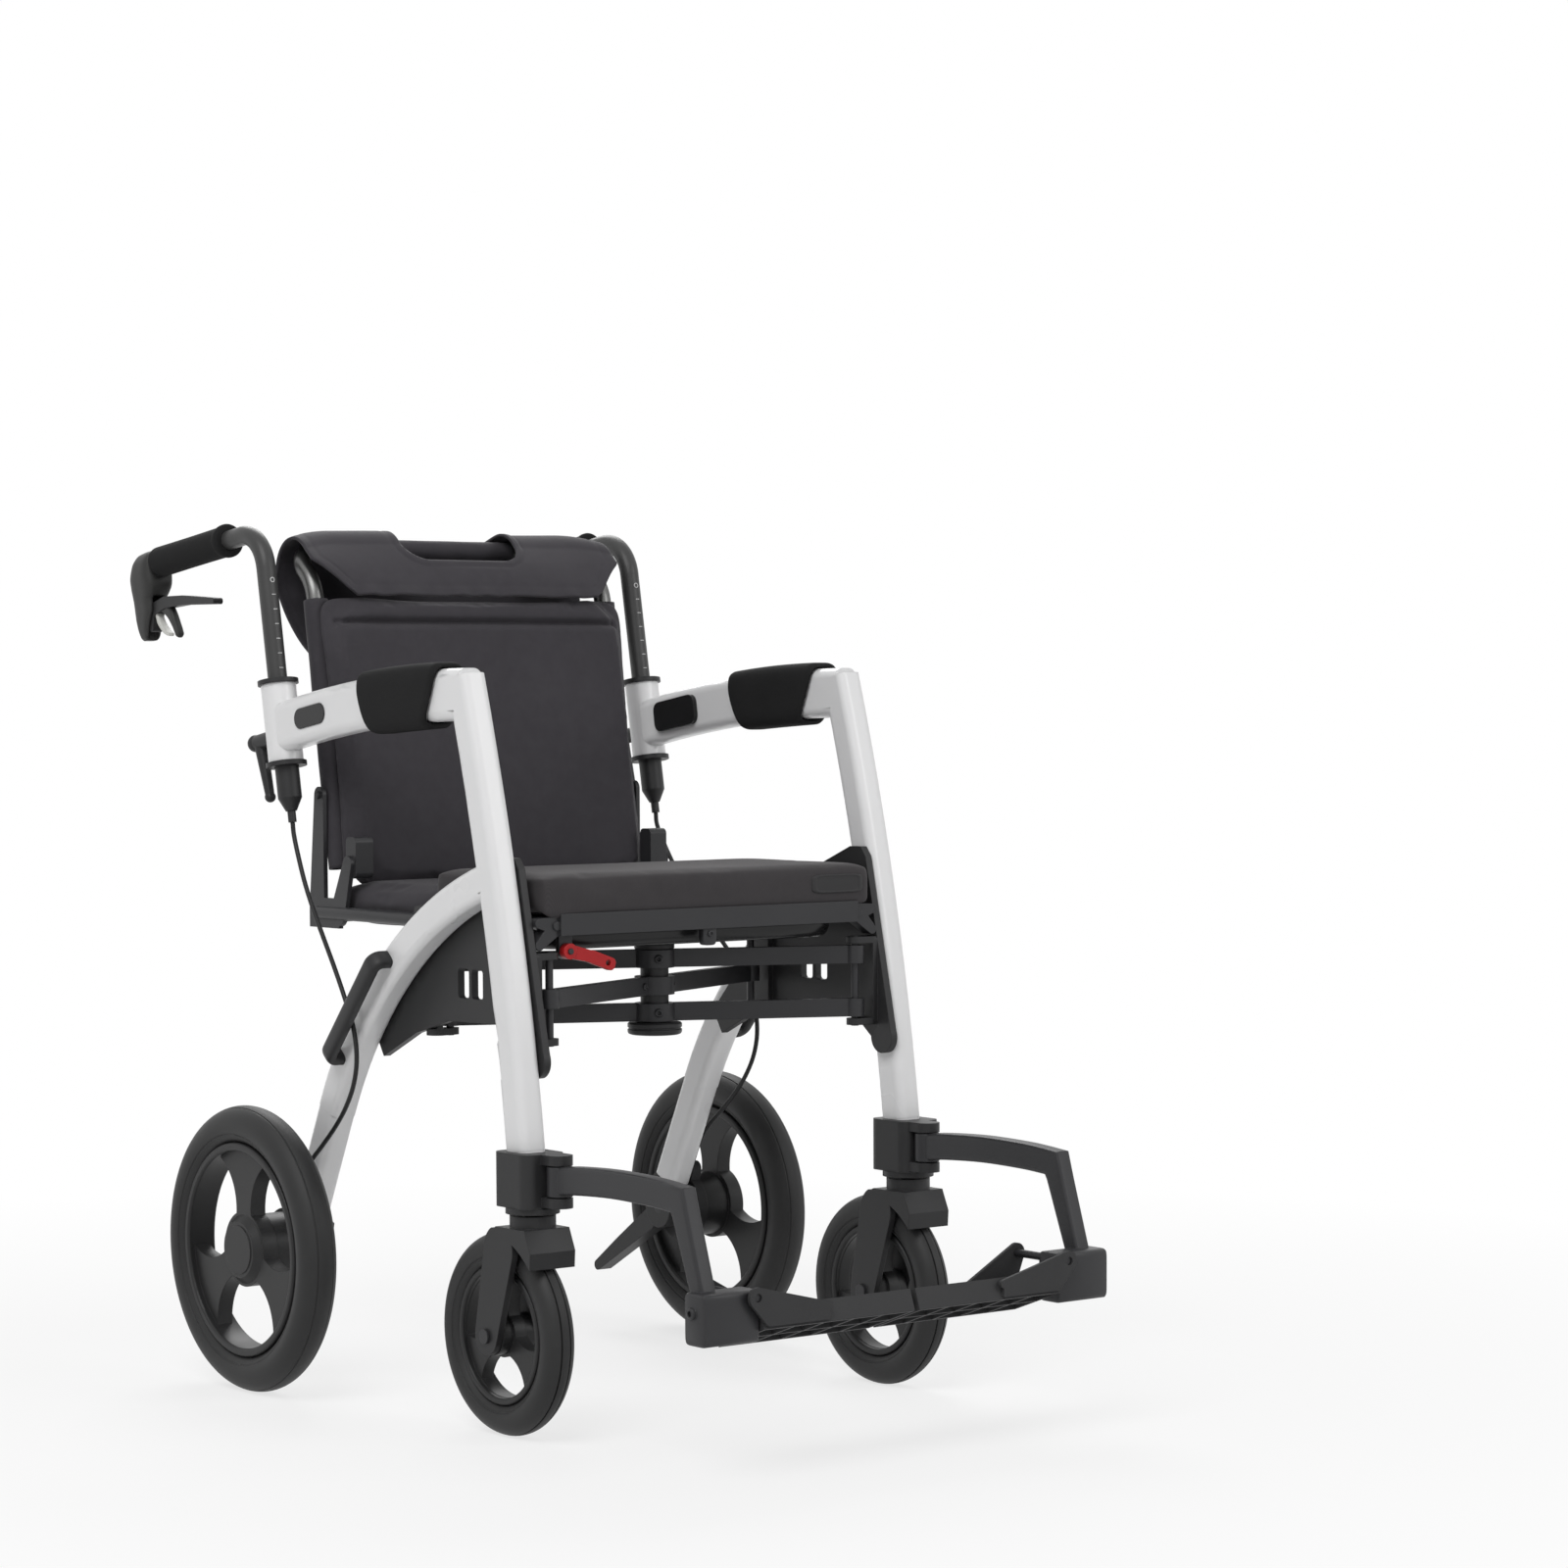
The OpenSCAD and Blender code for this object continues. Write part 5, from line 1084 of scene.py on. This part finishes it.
# a moulded hood: a rounded oblong carried down from the grip's end, slotted in front for the lever
def addHoods():
    c = hood
    h, front, rear, half = smoothPath(c["stations"], c["each"]).T[..., None]
    turn = around(c["points"])
    y = half * boxy(np.sin(turn), c["squareness"])
    g = (front + rear) / 2 - (rear - front) / 2 * boxy(np.cos(turn), c["squareness"])
    slot = (np.abs(y) < c["slotHalf"]) & (h < c["slotTop"]) & (np.cos(turn) > 0)
    g = np.where(slot, np.maximum(g, np.minimum(c["slotFloor"], rear - c["slotWall"])), g)
    faces = sweptFaces(*g.shape)
    for hand, sign in bothHands:
        obj = addMesh(hand + "Hood", onGrip(h, sign * sideY + y, g), faces, "hood", hand + "_handle")
        obj.data.set_sharp_from_angle(angle=c["sharpFrom"])
        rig.replaces(obj, hand + "_grip_hood")
        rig.slot(obj, "black_plastic")


column = {
    "at": 305.0, "sides": 72, "sharpFrom": 0.6,
    # radius and height up the column: a grooved cup, the tube that the arms turn on, and a top collar
    "profile": [(0.5, 383.5), (25, 383.5), (27.5, 384.5), (28.5, 386.5), (28.5, 389), (27.4, 389.6), (27.4, 390.8),
                (28.5, 391.4), (28.5, 395), (27, 396.4), (21, 396.6), (14.8, 396.8), (14.8, 472.8), (20, 472.9),
                (21, 473.8), (21, 477.6), (19.6, 478.9), (0.5, 478.9)],
}


# the linkage's column: a profile turned about an upright axis
def addColumn():
    r, z = np.array(column["profile"]).T[..., None]
    turn = around(column["sides"])
    pts = place(column["at"] + r * np.cos(turn), r * np.sin(turn), z)
    obj = addMesh("pivotColumn", pts, turned(sweptFaces(len(r), len(turn))), "plastic", "frame")
    obj.data.set_sharp_from_angle(angle=column["sharpFrom"])
    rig.replaces(obj, "pivot_column")
    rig.slot(obj, "black_plastic")


footArm = {
    "hinge": (466.5, -235.0, 262.0), "knuckle": [(11.8, -15.2), (13, -14.2), (13, 14.2), (11.8, 15.2)],
    "bow": [(466.5, 262), (500, 265.5), (560, 268), (620, 267), (652, 265), (668, 263.5)], "foot": (701.0, 172.0),
    "thick": (14.0, 13.5, 12.0, 9.5), "wide": (9.6, 9.0), "squareness": 0.32, "mitreRoom": 10.0, "sides": 56, "each": 5,
    "downPoints": 8, "yokeAt": (708.5, 156.0), "yokeHalf": (16.0, 25.0), "yokeSpan": (-253.0, -188.0),
    "yokeSquareness": 0.24, "bolt": (706.0, -253.0, 162.0), "boltSize": 6.0, "sharpFrom": 0.6,
}


# a footrest arm, as closed shells of one mesh: a rounded oblong carried along a bowed line with a mitred elbow, a
# turned knuckle at the hinge, a rounded block at the foot and a bolt
def addFootArms():
    c = footArm
    turn, square = around(c["sides"]), c["squareness"]
    bow = smoothPath([(x, 0, z) for x, z in c["bow"]], c["each"])[:, [0, 2]]
    elbow, foot = np.array(c["bow"][-1]), np.array(c["foot"])
    bow = bow[np.linalg.norm(bow - elbow, axis=1) > c["mitreRoom"]]
    path = np.vstack([bow, [elbow], elbow + (foot - elbow) * np.linspace(0.14, 1, c["downPoints"])[:, None]])
    seg = unit(np.diff(path, axis=0))
    way = unit(np.vstack([seg[:1], seg[:-1] + seg[1:], seg[-1:]]))
    stretch = 1 / (way * np.vstack([seg, seg[-1:]])).sum(1)
    share = np.concatenate([np.linspace(0, 0.5, len(bow) + 1), np.linspace(0.6, 1, c["downPoints"])])
    thick = np.interp(share, [0, 0.5, 0.62, 1], c["thick"]) * stretch
    wide = np.interp(share, [0, 1], c["wide"])
    off = thick[:, None] * boxy(np.cos(turn), square)
    shells = []
    shell = lambda *xyz: shells.append(np.stack(np.broadcast_arrays(*xyz), -1))
    shell(path[:, :1] - off * way[:, 1:], c["hinge"][1] + wide[:, None] * boxy(np.sin(turn), square),
          path[:, 1:] + off * way[:, :1])
    r, up = np.array(c["knuckle"]).T[..., None]
    shell(c["hinge"][0] + r * np.cos(turn), c["hinge"][1] - r * np.sin(turn), c["hinge"][2] + up)
    step = np.array([0, 0.8, 2.4])
    y = np.concatenate([c["yokeSpan"][0] + step, c["yokeSpan"][1] - step[::-1]])[:, None]
    ease = -np.concatenate([step[::-1], step])[:, None]
    shell(c["yokeAt"][0] + (c["yokeHalf"][0] + ease) * boxy(np.cos(turn), c["yokeSquareness"]), y,
          c["yokeAt"][1] + (c["yokeHalf"][1] + ease) * boxy(np.sin(turn), c["yokeSquareness"]))
    r, up = (np.array(fittings["boltProfile"]) * c["boltSize"]).T[..., None]
    shell(c["bolt"][0] + r * np.cos(turn), c["bolt"][1] - up, c["bolt"][2] - r * np.sin(turn))
    start = np.cumsum([0] + [s.shape[0] * s.shape[1] for s in shells])
    faces = [[v + first for v in f] for s, first in zip(shells, start) for f in sweptFaces(*s.shape[:2])]
    pts = np.concatenate([s.reshape(-1, 3) for s in shells])
    for hand, sign in bothHands:
        obj = addMesh(hand + "FootArm", place(pts[:, 0], -sign * pts[:, 1], pts[:, 2]),
                      faces if sign < 0 else turned(faces), "metal", hand + "_foot_arm")
        obj.data.set_sharp_from_angle(angle=c["sharpFrom"])
        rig.replaces(obj, hand + "_footrest")
        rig.slot(obj, "black_metal")


grabBars = {
    "rod": 6.5, "rise": 20.0, "nearer": 3.0, "forward": 18.0, "half": (9.5, 6.0), "squareness": 0.6, "corner": 9.0,
    "cornerPoints": 9, "sunk": 2.0, "sides": 40,
}


# grab bars on the rear legs: a rounded oblong carried out from the leg, along it and back in, round two bends
def addGrabBars():
    c = grabBars
    low, high = (np.array(v) * 1000 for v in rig.box("leg_loops"))
    first = np.array([low[0] + c["rod"] + c["forward"], low[2] + c["rod"]])
    run = np.array([high[0] - low[0], high[2] - low[2]]) - 2 * c["rod"]
    span = np.linalg.norm(run)
    out = high[1] - c["rod"] - c["nearer"]
    foot = high[1] - c["rod"] - c["rise"] - c["sunk"]
    ang = np.linspace(0, np.pi / 2, c["cornerPoints"])
    bent, up = c["corner"] * (1 - np.cos(ang)), out - c["corner"] * (1 - np.sin(ang))
    s = np.concatenate([[0], bent, span - bent[::-1], [span]])
    y = np.concatenate([[foot], up, up[::-1], [foot]])
    d = run / span
    path = np.stack([first[0] + s * d[0], y, first[1] + s * d[1]], -1)
    way = np.gradient(path, axis=0)
    way[[0, -1]] = [0, 1, 0], [0, -1, 0]
    across = np.array([d[1], 0, -d[0]])
    turn = around(c["sides"])[None, :, None]
    pts = path[:, None] + c["half"][0] * boxy(np.cos(turn), c["squareness"]) * across
    pts = pts + c["half"][1] * boxy(np.sin(turn), c["squareness"]) * np.cross(unit(way), across)[:, None]
    pts = pts.reshape(-1, 3) / 1000
    faces = sweptFaces(len(path), c["sides"])
    faces = turned(faces) + [[v + len(pts) for v in f] for f in faces]
    obj = addMesh("grabBars", np.concatenate([pts, pts * [1, -1, 1]]), faces, "plastic", "frame")
    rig.replaces(obj, "leg_loops")
    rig.slot(obj, "black_plastic")


addSeatPan()
addGrabBars()
addColumn()
addFootArms()
addHoods()
addBolts()
addRailLug()
addBar("LeverTail", fittings["tail"], "hood", "black_plastic")
addBar("LeverShoe", fittings["shoe"], "pale", "white_paint")
print("pan, grab bars, column, foot arms, hoods, bolts, lug and lever tails made")


# what camera, mirror and glass rays see: 1 for those, 0 for the light that falls on the object
def seenDirectly(p):
    path = p.add("ShaderNodeLightPath")
    return path.other("Is Camera Ray").most(path.other("Is Glossy Ray")).most(path.other("Is Transmission Ray"))


# a flat floor: white far off, and close to the chair a pale grey that keeps its shadow
def addFloor():
    pts = np.array([[-1, -1, 0], [1, -1, 0], [1, 1, 0], [-1, 1, 0]]) * studio["floorSize"]
    p = Paint("paleFloor")
    spot = p.add("ShaderNodeTexCoord", out="Object")
    away = p.add("ShaderNodeVectorMath", {"operation": "LENGTH"}, {0: spot}, "Value")
    far = ((away - studio["shadowReach"]) / studio["shadowFade"]).most(0.0).least(1.0)
    glow = studio["floorGlow"]
    plain = p.add("ShaderNodeBsdfDiffuse", {}, {"Color": studio["floorColour"]})
    white = p.add("ShaderNodeEmission", {}, {"Color": (1, 1, 1, 1), "Strength": 1.0})
    both = p.add("ShaderNodeMixShader", {}, {0: seenDirectly(p) * (far * (1 - glow) + glow), 1: plain, 2: white})
    p.feed(p.tree.nodes["Material Output"].inputs["Surface"], both)
    finishes["floor"] = p.block
    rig.stage(addMesh("paleFloor", pts, np.array([[0, 1, 2, 3]]), "floor", smooth=False))


# a white world for the rays that see it, dimmer as light
def lightWorld():
    p = Paint("paleStudio", "worlds")
    p.tree.nodes.clear()
    scene.world = p.block
    low = studio["ambient"]
    back = p.add("ShaderNodeBackground", {}, {"Color": (1, 1, 1, 1), "Strength": seenDirectly(p) * (1 - low) + low})
    p.feed(p.tree.nodes.new("ShaderNodeOutputWorld").inputs["Surface"], back)


addFloor()
lightWorld()
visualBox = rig.bounds()
with open("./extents.json", "w") as sizes:
    json.dump({"cad": [list(map(float, v)) for v in cadBox], "visual": [list(map(float, v)) for v in visualBox]}, sizes)
print("floor and light set")
